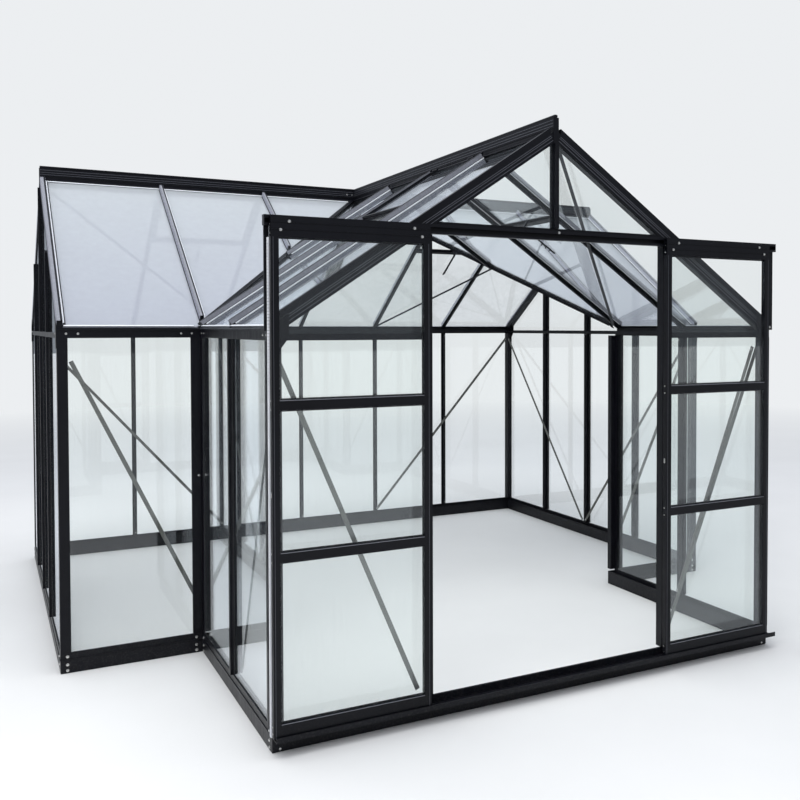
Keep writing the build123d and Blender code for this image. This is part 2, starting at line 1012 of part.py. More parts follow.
def track_strut(side):
    outer = side * (track_half - track_wall)
    inner = side * (track_half - track_wall - strut_wide)
    foot = side * (track_half - track_wall - strut_foot_wide)
    front = -porch_depth - plate_thick - strut_thick
    back = -porch_depth - plate_thick
    low = roof_edge_z - strut_foot_tall
    solid = block(min(outer, inner), max(outer, inner), front, back, low, track_low)
    return solid + block(min(outer, foot), max(outer, foot), front, back, low, roof_edge_z)


def door_guide():
    lip = -porch_depth - guide_depth
    wall = guide_wall
    solid = block(
        -porch_half, porch_half, lip, -porch_depth - sill_nose, plinth_height - wall, plinth_height
    )
    solid += block(-porch_half, porch_half, lip, lip + wall, plinth_height, guide_lip_top)
    back = -porch_depth
    solid += block(-porch_half, porch_half, back - wall, back, 2 * wall, plinth_height)
    return solid


# Door leaves; every leaf is drawn from its left edge.
def leaf_front():
    return -porch_depth - leaf_back - leaf_thick


def leaf_tube(x0, x1, z0, z1, upright):
    front = leaf_front()
    back = front + leaf_thick
    wall = leaf_wall
    solid = block(x0, x1, front, back, z0, z1)
    if upright:
        return solid - block(x0 + wall, x1 - wall, front + wall, back - wall, z0, z1)
    return solid - block(x0, x1, front + wall, back - wall, z0 + wall, z1 - wall)


def leaf_stiles(x0):
    x1 = x0 + leaf_wide
    left = leaf_tube(x0, x0 + stile_wide, leaf_low, leaf_rail_low, True)
    right = leaf_tube(x1 - stile_wide, x1, leaf_low, leaf_rail_low, True)
    return [left, right]


def leaf_fin(x0, x1, low):
    start = leaf_front() + fin_depth
    return block(x0, x1, start, start + ledge_thick, low, low + fin_tall)


def leaf_head_rail(x0):
    tall = leaf_top - leaf_rail_low
    front = leaf_front()
    solid = leaf_tube(x0, x0 + leaf_wide, leaf_rail_low, leaf_top, False)
    for step in (1, 2):
        low = leaf_rail_low + tall * step / 3 - rib_groove / 2
        solid -= block(x0, x0 + leaf_wide, front, front + rib_deep, low, low + rib_groove)
    inner = x0 + stile_wide
    return solid + leaf_fin(inner, x0 + leaf_wide - stile_wide, leaf_rail_low - fin_tall)


def leaf_rails(x0):
    left = x0 + stile_wide
    right = x0 + leaf_wide - stile_wide
    rails = [leaf_head_rail(x0)]
    low = leaf_tube(left, right, leaf_low, bottom_rail_top, False)
    rails.append(low + leaf_fin(left, right, bottom_rail_top))
    for middle in (lower_rail_z, upper_rail_z):
        z0 = middle - mid_rail_tall / 2
        z1 = middle + mid_rail_tall / 2
        rail = leaf_tube(left, right, z0, z1, False)
        rails.append(rail + leaf_fin(left, right, z0 - fin_tall) + leaf_fin(left, right, z1))
    return rails


def leaf_panes(x0):
    half = mid_rail_tall / 2
    gap = pane_gap / 2
    start = leaf_front() + fin_depth - pane_thick
    left = x0 + stile_wide + gap
    right = x0 + leaf_wide - stile_wide - gap
    steps = [
        (bottom_rail_top, lower_rail_z - half),
        (lower_rail_z + half, upper_rail_z - half),
        (upper_rail_z + half, leaf_rail_low),
    ]
    return [
        block(left, right, start, start + pane_thick, low + gap, high - gap) for low, high in steps
    ]


def leaf_rollers(x0):
    back = leaf_front() + leaf_thick
    rollers = []
    for place in (x0 + roller_inset, x0 + leaf_wide - roller_inset):
        axle = Pos(place, back, roller_z) * Rot(90, 0, 0)
        length = roller_back + roller_wide
        pin = axle * Cylinder(axle_radius, length, align=(Align.CENTER, Align.CENTER, Align.MAX))
        wheel_place = Pos(place, back + roller_back, roller_z) * Rot(90, 0, 0)
        wheel = wheel_place * Cylinder(
            roller_radius, roller_wide, align=(Align.CENTER, Align.CENTER, Align.MAX)
        )
        rollers.append(pin + wheel)
    return rollers


def wall_brace_set():
    low = sill_top + brace_wide
    high = plate_low
    near = bar_depth + brace_wide
    braces = []
    span = wall_length(wing_left)
    braces.append(wall_brace(wing_left, (near, high - near), (span + near / 3, low + near)))
    braces.append(wall_brace(wing_right, (span - near, high - near), (-near / 3, low + near)))
    total = wall_length(back_wall)
    reach = bar_margin + 2 * house_bay
    braces.append(wall_brace(back_wall, (near, high), (reach, low)))
    braces.append(wall_brace(back_wall, (total - near, high), (total - reach, low)))
    for number in (left_end, right_end):
        total = wall_length(number)
        apart = brace_wide
        braces.append(wall_brace(number, (near, high), (total / 2 - apart, low)))
        braces.append(wall_brace(number, (total - near, high), (total / 2 + apart, low)))
    inset = front_brace_inset
    span = bar_margin + side_bay - inset
    total = wall_length(porch_front)
    braces.append(wall_brace(porch_front, (inset, high), (span, low)))
    braces.append(wall_brace(porch_front, (total - inset, high), (total - span, low)))
    span = bar_margin + porch_bay
    total = wall_length(porch_left)
    braces.append(wall_brace(porch_left, (total - near, high), (span, low)))
    braces.append(wall_brace(porch_right, (near, high), (span, low)))
    return braces


def roof_brace_set():
    near = eaves_depth + brace_wide
    top = porch_half - ridge_half - 2 * brace_wide
    edge = bar_depth + brace_wide
    braces = []
    for slope in (left_slope, right_slope):
        braces.append(roof_brace(slope, (-bar_margin, near), (edge - porch_depth, top)))
    for side in (-1, 1):
        start = (side * house_bay, near)
        braces.append(roof_brace(back_slope, start, (side * (house_half - edge), top)))
    return braces


def back_roof_places():
    return [house_bay * step for step in (-2, -1, 0, 1, 2)]


def slope_limits():
    return 2 * pane_gap, porch_half - ridge_half - 4 * pane_gap


def back_roof_pane_set():
    low, high = slope_limits()
    gap = web_wide / 2 + pane_gap
    vent_edge = porch_half - vent_reach - gap * cosine
    edges = [-house_half + post_front + pane_gap]
    for place in back_roof_places():
        edges += [place - gap, place + gap]
    edges.append(house_half - post_front - pane_gap)
    panes = []
    for index in range(0, len(edges), 2):
        vented = index in (2, 8)
        top = vent_edge if vented else high
        panes.append(roof_pane(back_slope, edges[index], edges[index + 1], low, top))
    return panes


# The front slope's bars, one at each valley's foot and one a bay from the middle.
def front_roof_places():
    return [porch_half - jack_inset, house_bay]


def front_roof_pane_set():
    low, high = slope_limits()
    gap = web_wide / 2 + pane_gap
    panes = []
    edges = [house_half - post_front - pane_gap]
    for place in front_roof_places():
        edges += [place + gap, place - gap]
    edges.append(0)
    for side in (-1, 1):
        for index in range(0, len(edges), 2):
            ends = sorted((side * edges[index], side * edges[index + 1]))
            panes.append(roof_pane(front_slope, ends[0], ends[1], low, high, side))
    return panes


def porch_roof_places():
    first = bar_margin + porch_bay - porch_depth
    return [first, first + porch_bay, first + porch_bay + side_bay]


def porch_roof_pane_set():
    low, high = slope_limits()
    gap = web_wide / 2 + pane_gap
    vent_edge = porch_half - vent_reach - gap * cosine
    edges = [-porch_depth + post_front + pane_gap]
    for place in porch_roof_places():
        edges += [place - gap, place + gap]
    edges.append(porch_half)
    panes = []
    for slope, side in ((left_slope, -1), (right_slope, 1)):
        for index in range(0, len(edges), 2):
            top = vent_edge if index == 2 else high
            panes.append(roof_pane(slope, edges[index], edges[index + 1], low, top, side))
    return panes


def long_wall_pane_set():
    edge = post_front + pane_gap
    panes = row_of_panes(back_wall, back_wall_places(), edge, edge)
    panes += row_of_panes(wing_left, [], edge, pane_gap)
    panes += row_of_panes(wing_right, [], pane_gap, edge)
    return panes


def end_wall_pane_set():
    edge = post_front + pane_gap
    gap = web_wide / 2 + pane_gap
    foot = transom_z + web_wide / 2
    panes = []
    for number in (left_end, right_end):
        panes += row_of_panes(number, end_places(), edge, edge)
        edges = [eaves_depth + pane_gap]
        for place in end_places():
            edges += [place - gap, place + gap]
        edges.append(wall_length(number) - eaves_depth - pane_gap)
        for index in range(0, len(edges), 2):
            panes.append(gable_pane(number, edges[index], edges[index + 1], foot))
    return panes


def porch_side_pane_set():
    edge = post_front + pane_gap
    places = [bar_margin + porch_bay]
    panes = row_of_panes(porch_left, places, pane_gap, edge)
    return panes + row_of_panes(porch_right, places, edge, pane_gap)


def porch_front_pane_set():
    edge = post_front + pane_gap
    total = wall_length(porch_front)
    side = bar_margin + side_bay - web_wide / 2 - pane_gap
    foot = transom_z + web_wide / 2
    panes = [
        wall_pane(porch_front, edge, side),
        wall_pane(porch_front, total - side, total - edge),
        gable_pane(porch_front, eaves_depth + pane_gap, side, foot),
        gable_pane(porch_front, total - side, total - eaves_depth - pane_gap, foot),
    ]
    gap = web_wide / 2 + pane_gap
    reach = (header_top + (post_front + pane_gap) / cosine - roof_edge_z) / tangent
    flat = ridge_low - 2 * pane_gap
    head = (flat + (post_front + pane_gap) / cosine - roof_edge_z) / tangent
    middle = total / 2
    left = [(reach, header_top), (middle - gap, header_top), (middle - gap, flat), (head, flat)]
    right = [(total - place, height) for place, height in left]
    panes.append(gable_shape(porch_front, left))
    panes.append(gable_shape(porch_front, right))
    return panes


def gable_bar_set():
    bars = []
    for number in (left_end, right_end):
        for place in end_places():
            bars.append(wall_bar(number, place))
            bars.append(gable_bar(number, place))
    return bars


def gable_transom_set():
    pieces = []
    for number in (left_end, right_end):
        pieces.append(gable_transom(number, eaves_depth, wall_length(number) - eaves_depth))
    total = wall_length(porch_front)
    edge = bar_margin + side_bay - web_wide / 2 - jamb_lip
    pieces.append(gable_transom(porch_front, eaves_depth, edge))
    pieces.append(gable_transom(porch_front, total - edge, total - eaves_depth))
    return pieces


def rafter_set():
    rafters = []
    for number in (left_end, right_end, porch_front):
        for slope in gable_slopes(number):
            rafters.append(gable_rafter(number, slope))
    return rafters


def front_roof_bar_set():
    bars = []
    for side in (-1, 1):
        for place in front_roof_places():
            bars.append(jack_bar(front_slope, side * place, side))
    return bars


def porch_roof_bar_set():
    bars = []
    places = porch_roof_places()
    for slope, side in ((left_slope, -1), (right_slope, 1)):
        bars.append(roof_bar(slope, places[0]))
        bars.append(roof_bar(slope, places[1]))
        bars.append(jack_bar(slope, places[2], side))
    return bars


def plate_set():
    plates = []
    for number in (left_end, right_end, porch_front):
        plates += [corner_plate(number, False), corner_plate(number, True)]
        plates.append(ridge_end_plate(number))
    return plates


def wall_bar_set():
    bars = [wall_bar(back_wall, place) for place in back_wall_places()]
    middle = bar_margin + porch_bay
    return bars + [wall_bar(porch_left, middle), wall_bar(porch_right, middle)]


def build():
    return {
        "plinth_lengthways": [plinth_run(n) for n in (0, 2, 4, 6)],
        "plinth_crossways": [plinth_run(n) for n in (1, 3, 5, 7)],
        "sill_lengthways": [sill_run(n) for n in (0, 2, 4, 6)],
        "sill_crossways": [sill_run(n) for n in (1, 3, 5, 7)],
        "corner_posts": [corner_post(n) for n in (0, 1, 3, 4, 5, 6)],
        "valley_posts": [valley_post(-1), valley_post(1)],
        "door_jambs": [door_jamb(-1), door_jamb(1)],
        "wall_bars": wall_bar_set(),
        "gable_bars": gable_bar_set(),
        "eaves_lengthways": [
            eaves_run(back_wall, True, True),
            eaves_run(wing_left, True, False),
            eaves_run(wing_right, False, True),
        ],
        "eaves_crossways": [
            eaves_run(porch_left, False, True),
            eaves_run(porch_right, True, False),
        ],
        "gable_transoms": gable_transom_set(),
        "door_header": [door_header()],
        "gable_post": [gable_post()],
        "gable_rafters": rafter_set(),
        "main_ridge": [main_ridge()],
        "porch_ridge": [porch_ridge()],
        "valley_bars": [valley_bar(-1), valley_bar(1)],
        "back_roof_bars": [roof_bar(back_slope, place) for place in back_roof_places()],
        "front_roof_bars": front_roof_bar_set(),
        "porch_roof_bars": porch_roof_bar_set(),
        "wall_braces": wall_brace_set(),
        "roof_braces": roof_brace_set(),
        "corner_plates": plate_set(),
        "long_wall_panes": long_wall_pane_set(),
        "end_wall_panes": end_wall_pane_set(),
        "porch_side_panes": porch_side_pane_set(),
        "porch_front_panes": porch_front_pane_set(),
        "back_roof_panes": back_roof_pane_set(),
        "front_roof_panes": front_roof_pane_set(),
        "porch_roof_panes": porch_roof_pane_set(),
        "vent_frames": [vent_frame(*span) for span in vent_spans()],
        "vent_panes": [vent_pane(*span) for span in vent_spans()],
        "vent_rests": [vent_rest(*span) for span in vent_spans()],
        "vent_stays": [vent_stay(*span) for span in vent_spans()],
        "door_track": [door_track()],
        "track_struts": [track_strut(-1), track_strut(1)],
        "door_guide": [door_guide()],
        "left_door_stiles": leaf_stiles(left_leaf_x),
        "left_door_rails": leaf_rails(left_leaf_x),
        "left_door_panes": leaf_panes(left_leaf_x),
        "left_door_rollers": leaf_rollers(left_leaf_x),
        "right_door_stiles": leaf_stiles(right_leaf_x),
        "right_door_rails": leaf_rails(right_leaf_x),
        "right_door_panes": leaf_panes(right_leaf_x),
        "right_door_rollers": leaf_rollers(right_leaf_x),
    }


os.makedirs("parts", exist_ok=True)
for name, solids in build().items():
    pieces = [solid for made in solids for solid in made.solids()]
    moved = [Pos(0, -middle_y, 0) * piece for piece in pieces]
    export_step(Compound(children=moved), "parts/" + name + ".step")
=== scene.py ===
import bpy
import bmesh
import math
from mathutils import Matrix, Vector


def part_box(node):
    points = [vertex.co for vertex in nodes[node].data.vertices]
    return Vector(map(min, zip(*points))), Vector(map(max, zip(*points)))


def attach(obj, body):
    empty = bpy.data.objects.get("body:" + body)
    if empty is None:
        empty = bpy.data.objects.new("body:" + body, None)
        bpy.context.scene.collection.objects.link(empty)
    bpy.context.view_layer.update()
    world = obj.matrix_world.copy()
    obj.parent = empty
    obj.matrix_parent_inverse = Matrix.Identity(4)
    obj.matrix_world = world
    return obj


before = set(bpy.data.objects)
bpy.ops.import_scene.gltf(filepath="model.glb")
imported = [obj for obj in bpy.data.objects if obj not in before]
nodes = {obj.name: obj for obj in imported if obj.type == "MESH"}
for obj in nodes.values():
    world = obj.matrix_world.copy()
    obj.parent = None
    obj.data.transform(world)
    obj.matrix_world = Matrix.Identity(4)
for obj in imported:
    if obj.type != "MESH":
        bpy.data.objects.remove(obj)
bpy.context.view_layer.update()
upward = Vector((0, 0, 1))


# Camera, as the photograph was taken: standing height, a little left of the doors.
cameraPlace = {
    "position": (-2.2166, -5.4284, 1.6276),
    "tilt": -1.492,
    "turn": -29.1775,
    "lens": 42.2,
    "shiftX": -0.1345,
    "shiftY": -0.06,
    "farClip": 200,
}


def makeCamera():
    data = bpy.data.cameras.new("gardenCamera")
    data.lens = cameraPlace["lens"]
    data.shift_x = cameraPlace["shiftX"]
    data.shift_y = cameraPlace["shiftY"]
    data.clip_end = cameraPlace["farClip"]
    camera = bpy.data.objects.new("gardenCamera", data)
    camera.location = cameraPlace["position"]
    turn = math.radians(cameraPlace["turn"])
    camera.rotation_euler = (math.radians(90 + cameraPlace["tilt"]), 0, turn)
    bpy.context.scene.collection.objects.link(camera)
    bpy.context.scene.camera = camera


makeCamera()
print("camera placed")


# The plan, in metres: outer lines of the walls and the heights they meet at.
plan = {
    "houseHalf": 1.922,
    "porchHalf": 1.275,
    "backLine": 1.952,
    "wingLine": -0.598,
    "porchLine": -1.896,
    "houseBay": 0.629,
    "sideBay": 0.62,
    "porchBay": 0.614,
    "margin": 0.035,
    "sillTop": 0.096,
    "eavesLow": 1.578,
    "roofEdge": 1.636,
    "roofAngle": 34,
    "barDepth": 0.042,
    "capHalf": 0.013,
    "ribHalf": 0.01,
    "ribTall": 0.024,
    "ribShort": 0.002,
    "rafterHalf": 0.013,
    "flangeReach": 0.026,
    "valleyClear": 0.024,
    "jackInset": 0.017,
    "crossBar": 0.585,
    "ridgeHalf": 0.014,
    "ridgeBandLow": 0.012,
}
corners = [
    Vector((-plan["porchHalf"], plan["porchLine"], 0)),
    Vector((plan["porchHalf"], plan["porchLine"], 0)),
    Vector((plan["porchHalf"], plan["wingLine"], 0)),
    Vector((plan["houseHalf"], plan["wingLine"], 0)),
    Vector((plan["houseHalf"], plan["backLine"], 0)),
    Vector((-plan["houseHalf"], plan["backLine"], 0)),
    Vector((-plan["houseHalf"], plan["wingLine"], 0)),
    Vector((-plan["porchHalf"], plan["wingLine"], 0)),
]
wallNames = ["porchFront", "porchRight", "wingRight", "rightEnd"]
wallNames += ["backWall", "leftEnd", "wingLeft", "porchLeft"]
ridgeReach = (plan["backLine"] - plan["wingLine"]) / 2
slopes = {
    "back": (Vector((0, plan["backLine"], 0)), Vector((1, 0, 0)), Vector((0, -1, 0))),
    "front": (Vector((0, plan["wingLine"], 0)), Vector((1, 0, 0)), Vector((0, 1, 0))),
    "left": (Vector((-plan["porchHalf"], 0, 0)), Vector((0, 1, 0)), Vector((1, 0, 0))),
    "right": (Vector((plan["porchHalf"], 0, 0)), Vector((0, 1, 0)), Vector((-1, 0, 0))),
}
roofTilt = math.radians(plan["roofAngle"])


def wallWays(name):
    number = wallNames.index(name)
    reach = corners[(number + 1) % len(corners)] - corners[number]
    along = reach.normalized()
    return corners[number], along, along.cross(upward), reach.length


def onWall(name, place, height, depth=0.0):
    start, along, outward, _ = wallWays(name)
    return start + along * place - outward * depth + upward * height


def slopeNormal(name):
    return slopes[name][2] * -math.sin(roofTilt) + upward * math.cos(roofTilt)


def onSlope(name, place, reach, depth=0.0):
    foot, along, inward = slopes[name]
    height = plan["roofEdge"] + reach * math.tan(roofTilt)
    return foot + along * place + inward * reach + upward * height - slopeNormal(name) * depth


# Materials. Every finish reads the object's own coordinates, which are the house's metres.
def addNode(tree, kind, **values):
    node = tree.nodes.new(kind)
    for name, value in values.items():
        if name in node.inputs:
            node.inputs[name].default_value = value
        else:
            setattr(node, name, value)
    return node


def startMaterial(name):
    material = bpy.data.materials.new(name)
    material.use_nodes = True
    material.node_tree.nodes.clear()
    return material, material.node_tree


def stretchedPlace(tree, stretch):
    place = addNode(tree, "ShaderNodeTexCoord")
    mapping = addNode(tree, "ShaderNodeMapping", Scale=stretch)
    tree.links.new(place.outputs["Object"], mapping.inputs["Vector"])
    return mapping.outputs["Vector"]


def noiseValue(tree, scale, stretch=(1, 1, 1), detail=4.0, roughness=0.55):
    noise = addNode(tree, "ShaderNodeTexNoise", Scale=scale, Detail=detail, Roughness=roughness)
    tree.links.new(stretchedPlace(tree, stretch), noise.inputs["Vector"])
    return noise.outputs["Fac"]


def remap(tree, value, low, high, first=0.0, last=1.0):
    names = {"From Min": low, "From Max": high, "To Min": first, "To Max": last}
    node = addNode(tree, "ShaderNodeMapRange")
    for name, number in names.items():
        node.inputs[name].default_value = number
    tree.links.new(value, node.inputs["Value"])
    return node.outputs["Result"]


def combine(tree, operation, first, second):
    node = addNode(tree, "ShaderNodeMath", operation=operation)
    for socket, value in zip(node.inputs, (first, second)):
        if isinstance(value, (int, float)):
            socket.default_value = value
        else:
            tree.links.new(value, socket)
    return node.outputs["Value"]


def blendColours(tree, share, first, second):
    node = addNode(tree, "ShaderNodeMix", data_type="RGBA")
    colours = [socket for socket in node.inputs if socket.type == "RGBA"]
    tree.links.new(share, node.inputs["Factor"])
    for socket, value in zip(colours, (first, second)):
        if isinstance(value, tuple):
            socket.default_value = (*value, 1)
        else:
            tree.links.new(value, socket)
    return [socket for socket in node.outputs if socket.type == "RGBA"][0]


def mixShaders(tree, share, first, second):
    node = addNode(tree, "ShaderNodeMixShader")
    if isinstance(share, (int, float)):
        node.inputs["Fac"].default_value = share
    else:
        tree.links.new(share, node.inputs["Fac"])
    tree.links.new(first, node.inputs[1])
    tree.links.new(second, node.inputs[2])
    return node.outputs["Shader"]


def addBump(tree, value, strength, distance):
    node = addNode(tree, "ShaderNodeBump", Strength=strength, Distance=distance)
    tree.links.new(value, node.inputs["Height"])
    return node.outputs["Normal"]


def finishMaterial(material, shader):
    tree = material.node_tree
    output = addNode(tree, "ShaderNodeOutputMaterial")
    tree.links.new(shader, output.inputs["Surface"])
    return material


def heightShare(tree, low, high):
    place = addNode(tree, "ShaderNodeTexCoord")
    parts = addNode(tree, "ShaderNodeSeparateXYZ")
    tree.links.new(place.outputs["Object"], parts.inputs["Vector"])
    return remap(tree, parts.outputs["Z"], low, high, 1.0, 0.0)


def upwardShare(tree, low, high):
    geometry = addNode(tree, "ShaderNodeNewGeometry")
    parts = addNode(tree, "ShaderNodeSeparateXYZ")
    tree.links.new(geometry.outputs["Normal"], parts.inputs["Vector"])
    return remap(tree, parts.outputs["Z"], low, high)


powderCoat = {
    "dark": (0.0028, 0.003, 0.0048),
    "light": (0.005, 0.0054, 0.008),
    "dust": (0.13, 0.125, 0.115),
    "sheen": 0.17,
    "roughLow": 0.3,
    "roughHigh": 0.44,
    "cloudScale": 2.6,
    "cloudBand": (0.3, 0.7),
    "speckleScale": 130,
    "speckleBand": (0.48, 0.8),
    "lyingBand": (0.75, 0.98),
    "runScale": 7,
    "runStretch": (9, 9, 0.6),
    "runBand": (0.3, 0.75),
    "dustRough": 0.6,
    "peelScale": 900,
    "peelStrength": 0.12,
    "peelDepth": 0.0004,
    "splashTop": 0.26,
    "splash": 0.13,
    "lying": 0.05,
}


# Satin black powder coat: faint clouds, orange peel, rain runs and a little dust low down.
def powderCoatMaterial(name, tone=1.0, dusty=1.0):
    material, tree = startMaterial(name)
    shade = tuple(channel * tone for channel in powderCoat["dark"])
    lit = tuple(channel * tone for channel in powderCoat["light"])
    cloud = remap(tree, noiseValue(tree, powderCoat["cloudScale"]), *powderCoat["cloudBand"])
    colour = blendColours(tree, cloud, shade, lit)
    speckle = noiseValue(tree, powderCoat["speckleScale"], detail=6)
    speckle = remap(tree, speckle, *powderCoat["speckleBand"])
    splash = combine(tree, "MULTIPLY", heightShare(tree, 0.0, powderCoat["splashTop"]), speckle)
    splash = combine(tree, "MULTIPLY", splash, powderCoat["splash"] * dusty)
    lying = upwardShare(tree, *powderCoat["lyingBand"])
    lying = combine(tree, "MULTIPLY", lying, powderCoat["lying"] * dusty)
    dust = combine(tree, "MAXIMUM", splash, combine(tree, "MULTIPLY", lying, speckle))
    colour = blendColours(tree, dust, colour, powderCoat["dust"])
    runs = noiseValue(tree, powderCoat["runScale"], powderCoat["runStretch"], detail=3)
    rough = remap(tree, runs, *powderCoat["runBand"], powderCoat["roughLow"], powderCoat["roughHigh"])
    rough = combine(tree, "ADD", rough, combine(tree, "MULTIPLY", dust, powderCoat["dustRough"]))
    peel = noiseValue(tree, powderCoat["peelScale"], detail=2)
    shader = addNode(tree, "ShaderNodeBsdfPrincipled")
    shader.inputs["Specular IOR Level"].default_value = powderCoat["sheen"]
    tree.links.new(colour, shader.inputs["Base Color"])
    tree.links.new(rough, shader.inputs["Roughness"])
    skin = addBump(tree, peel, powderCoat["peelStrength"], powderCoat["peelDepth"])
    tree.links.new(skin, shader.inputs["Normal"])
    return finishMaterial(material, shader.outputs["BSDF"])


clearPane = {
    "tint": (0.982, 0.992, 0.987),
    "film": (0.66, 0.7, 0.7),
    "filmLow": 0.001,
    "filmHigh": 0.014,
    "splash": 0.035,
    "splashBand": (0.05, 0.3),
    "splashScale": 45,
    "streakScale": 16,
    "streakStretch": (7, 7, 0.5),
    "streakBand": (0.45, 0.85),
    "mirrorTint": (0.93, 0.96, 1.0),
    "mirrorRough": 0.012,
    "rippleScale": 1.3,
    "rippleStrength": 0.01,
    "rippleDepth": 0.02,
    "gloss": 0.035,
    "slantPower": 4.0,
    "slantShare": 0.92,
}


# Glass seen straight through, with a mirror that grows at a slant and a thin film of dried rain.
def paneShader(tree, splash):
    clear = addNode(tree, "ShaderNodeBsdfTransparent")
    clear.inputs["Color"].default_value = (*clearPane["tint"], 1)
    mirror = addNode(tree, "ShaderNodeBsdfGlossy", Roughness=clearPane["mirrorRough"])
    mirror.inputs["Color"].default_value = (*clearPane["mirrorTint"], 1)
    ripple = noiseValue(tree, clearPane["rippleScale"], detail=1)
    ripple = addBump(tree, ripple, clearPane["rippleStrength"], clearPane["rippleDepth"])
    tree.links.new(ripple, mirror.inputs["Normal"])
    slant = addNode(tree, "ShaderNodeLayerWeight", Blend=0.5)
    slant = combine(tree, "POWER", slant.outputs["Facing"], clearPane["slantPower"])
    slant = combine(tree, "MULTIPLY", slant, clearPane["slantShare"])
    share = combine(tree, "ADD", slant, clearPane["gloss"])
    glossy = mixShaders(tree, share, clear.outputs["BSDF"], mirror.outputs["BSDF"])
    film = addNode(tree, "ShaderNodeBsdfDiffuse")
    film.inputs["Color"].default_value = (*clearPane["film"], 1)
    streaks = noiseValue(tree, clearPane["streakScale"], clearPane["streakStretch"], detail=5)
    streaks = remap(tree, streaks, *clearPane["streakBand"])
    low, high = clearPane["filmLow"], clearPane["filmHigh"]
    haze = combine(tree, "ADD", combine(tree, "MULTIPLY", streaks, high - low), low)
    drops = noiseValue(tree, clearPane["splashScale"], detail=6)
    foot = combine(tree, "MULTIPLY", heightShare(tree, *clearPane["splashBand"]), drops)
    haze = combine(tree, "ADD", haze, combine(tree, "MULTIPLY", foot, splash))
    return mixShaders(tree, haze, glossy, film.outputs["BSDF"])


def paneMaterial(name, splash=0.0):
    material, tree = startMaterial(name)
    return finishMaterial(material, paneShader(tree, splash))


milkyFilm = {
    "upper": (0.54, 0.565, 0.59),
    "lower": (0.487, 0.507, 0.568),
    "footHeight": 1.65,
    "headHeight": 2.5,
    "throughShare": 0.4,
    "roughness": 0.3,
    "sheen": 0.2,
    "cloudScale": 1.7,
    "cloudBand": (0.3, 0.7),
    "cloudSpread": 0.5,
    "fineScale": 26,
    "fineStretch": (1, 1, 0.6),
    "fineBand": (0.35, 0.75),
    "fineSpread": 0.3,
    "cloudDepth": 0.05,
    "frontCover": 0.66,
    "backCover": 0.14,
}


# The pale look of the roof sheets: a milky film over the same glass, with painted shade that makes it
# darker and cooler towards the eaves.
def milkyMaterial(name, cover):
    material, tree = startMaterial(name)
    # Painted shade: the upper colour fades into the darker, bluer lower one down the slope.
    rise = heightShare(tree, milkyFilm["footHeight"], milkyFilm["headHeight"])
    colour = blendColours(tree, rise, milkyFilm["upper"], milkyFilm["lower"])
    milk = addNode(tree, "ShaderNodeBsdfPrincipled", Roughness=milkyFilm["roughness"])
    milk.inputs["Specular IOR Level"].default_value = milkyFilm["sheen"]
    tree.links.new(colour, milk.inputs["Base Color"])
    through = addNode(tree, "ShaderNodeBsdfTranslucent")
    tree.links.new(colour, through.inputs["Color"])
    sheet = mixShaders(tree, milkyFilm["throughShare"], milk.outputs["BSDF"], through.outputs["BSDF"])
    cloud = noiseValue(tree, milkyFilm["cloudScale"], detail=5)
    spread = milkyFilm["cloudSpread"]
    cloud = remap(tree, cloud, *milkyFilm["cloudBand"], -spread, spread)
    fine = noiseValue(tree, milkyFilm["fineScale"], milkyFilm["fineStretch"], detail=5)
    spread = milkyFilm["fineSpread"]
    fine = remap(tree, fine, *milkyFilm["fineBand"], -spread, spread)
    patchy = combine(tree, "MULTIPLY", combine(tree, "ADD", cloud, fine), milkyFilm["cloudDepth"])
    patchy = combine(tree, "ADD", patchy, cover)
    return finishMaterial(material, mixShaders(tree, patchy, paneShader(tree, 0.0), sheet))


metalLook = {
    "spotScale": 500,
    "spotBand": (0.42, 0.68),
    "wornRough": 0.22,
    "grainScale": 1800,
    "grainStrength": 0.15,
    "grainDepth": 0.0001,
}


def metalMaterial(name, bright, worn, roughness, scratches=(1, 1, 5)):
    material, tree = startMaterial(name)
    spots = noiseValue(tree, metalLook["spotScale"], detail=5)
    spots = remap(tree, spots, *metalLook["spotBand"])
    shader = addNode(tree, "ShaderNodeBsdfPrincipled", Metallic=1.0)
    tree.links.new(blendColours(tree, spots, bright, worn), shader.inputs["Base Color"])
    rough = remap(tree, spots, 0, 1, roughness, roughness + metalLook["wornRough"])
    tree.links.new(rough, shader.inputs["Roughness"])
    grain = noiseValue(tree, metalLook["grainScale"], scratches, detail=2)
    grain = addBump(tree, grain, metalLook["grainStrength"], metalLook["grainDepth"])
    tree.links.new(grain, shader.inputs["Normal"])
    return finishMaterial(material, shader.outputs["BSDF"])


plainLook = {
    "cloudScale": 90,
    "cloudBand": (0.45, 0.8),
    "bloomRough": 0.15,
    "grainStrength": 0.2,
    "grainDepth": 0.0003,
}


# A plain matt or satin stuff with clouds, used for rubber, nylon, brushes and grey coats.
def plainMaterial(name, colour, bloom, roughness=0.6, grainScale=1500, stretch=(1, 1, 1)):
    material, tree = startMaterial(name)
    cloud = noiseValue(tree, plainLook["cloudScale"], stretch, detail=5)
    cloud = remap(tree, cloud, *plainLook["cloudBand"])
    shader = addNode(tree, "ShaderNodeBsdfPrincipled")
    tree.links.new(blendColours(tree, cloud, colour, bloom), shader.inputs["Base Color"])
    rough = remap(tree, cloud, 0, 1, roughness, roughness + plainLook["bloomRough"])
    tree.links.new(rough, shader.inputs["Roughness"])
    grain = noiseValue(tree, grainScale, stretch, detail=3)
    grain = addBump(tree, grain, plainLook["grainStrength"], plainLook["grainDepth"])
    tree.links.new(grain, shader.inputs["Normal"])
    return finishMaterial(material, shader.outputs["BSDF"])


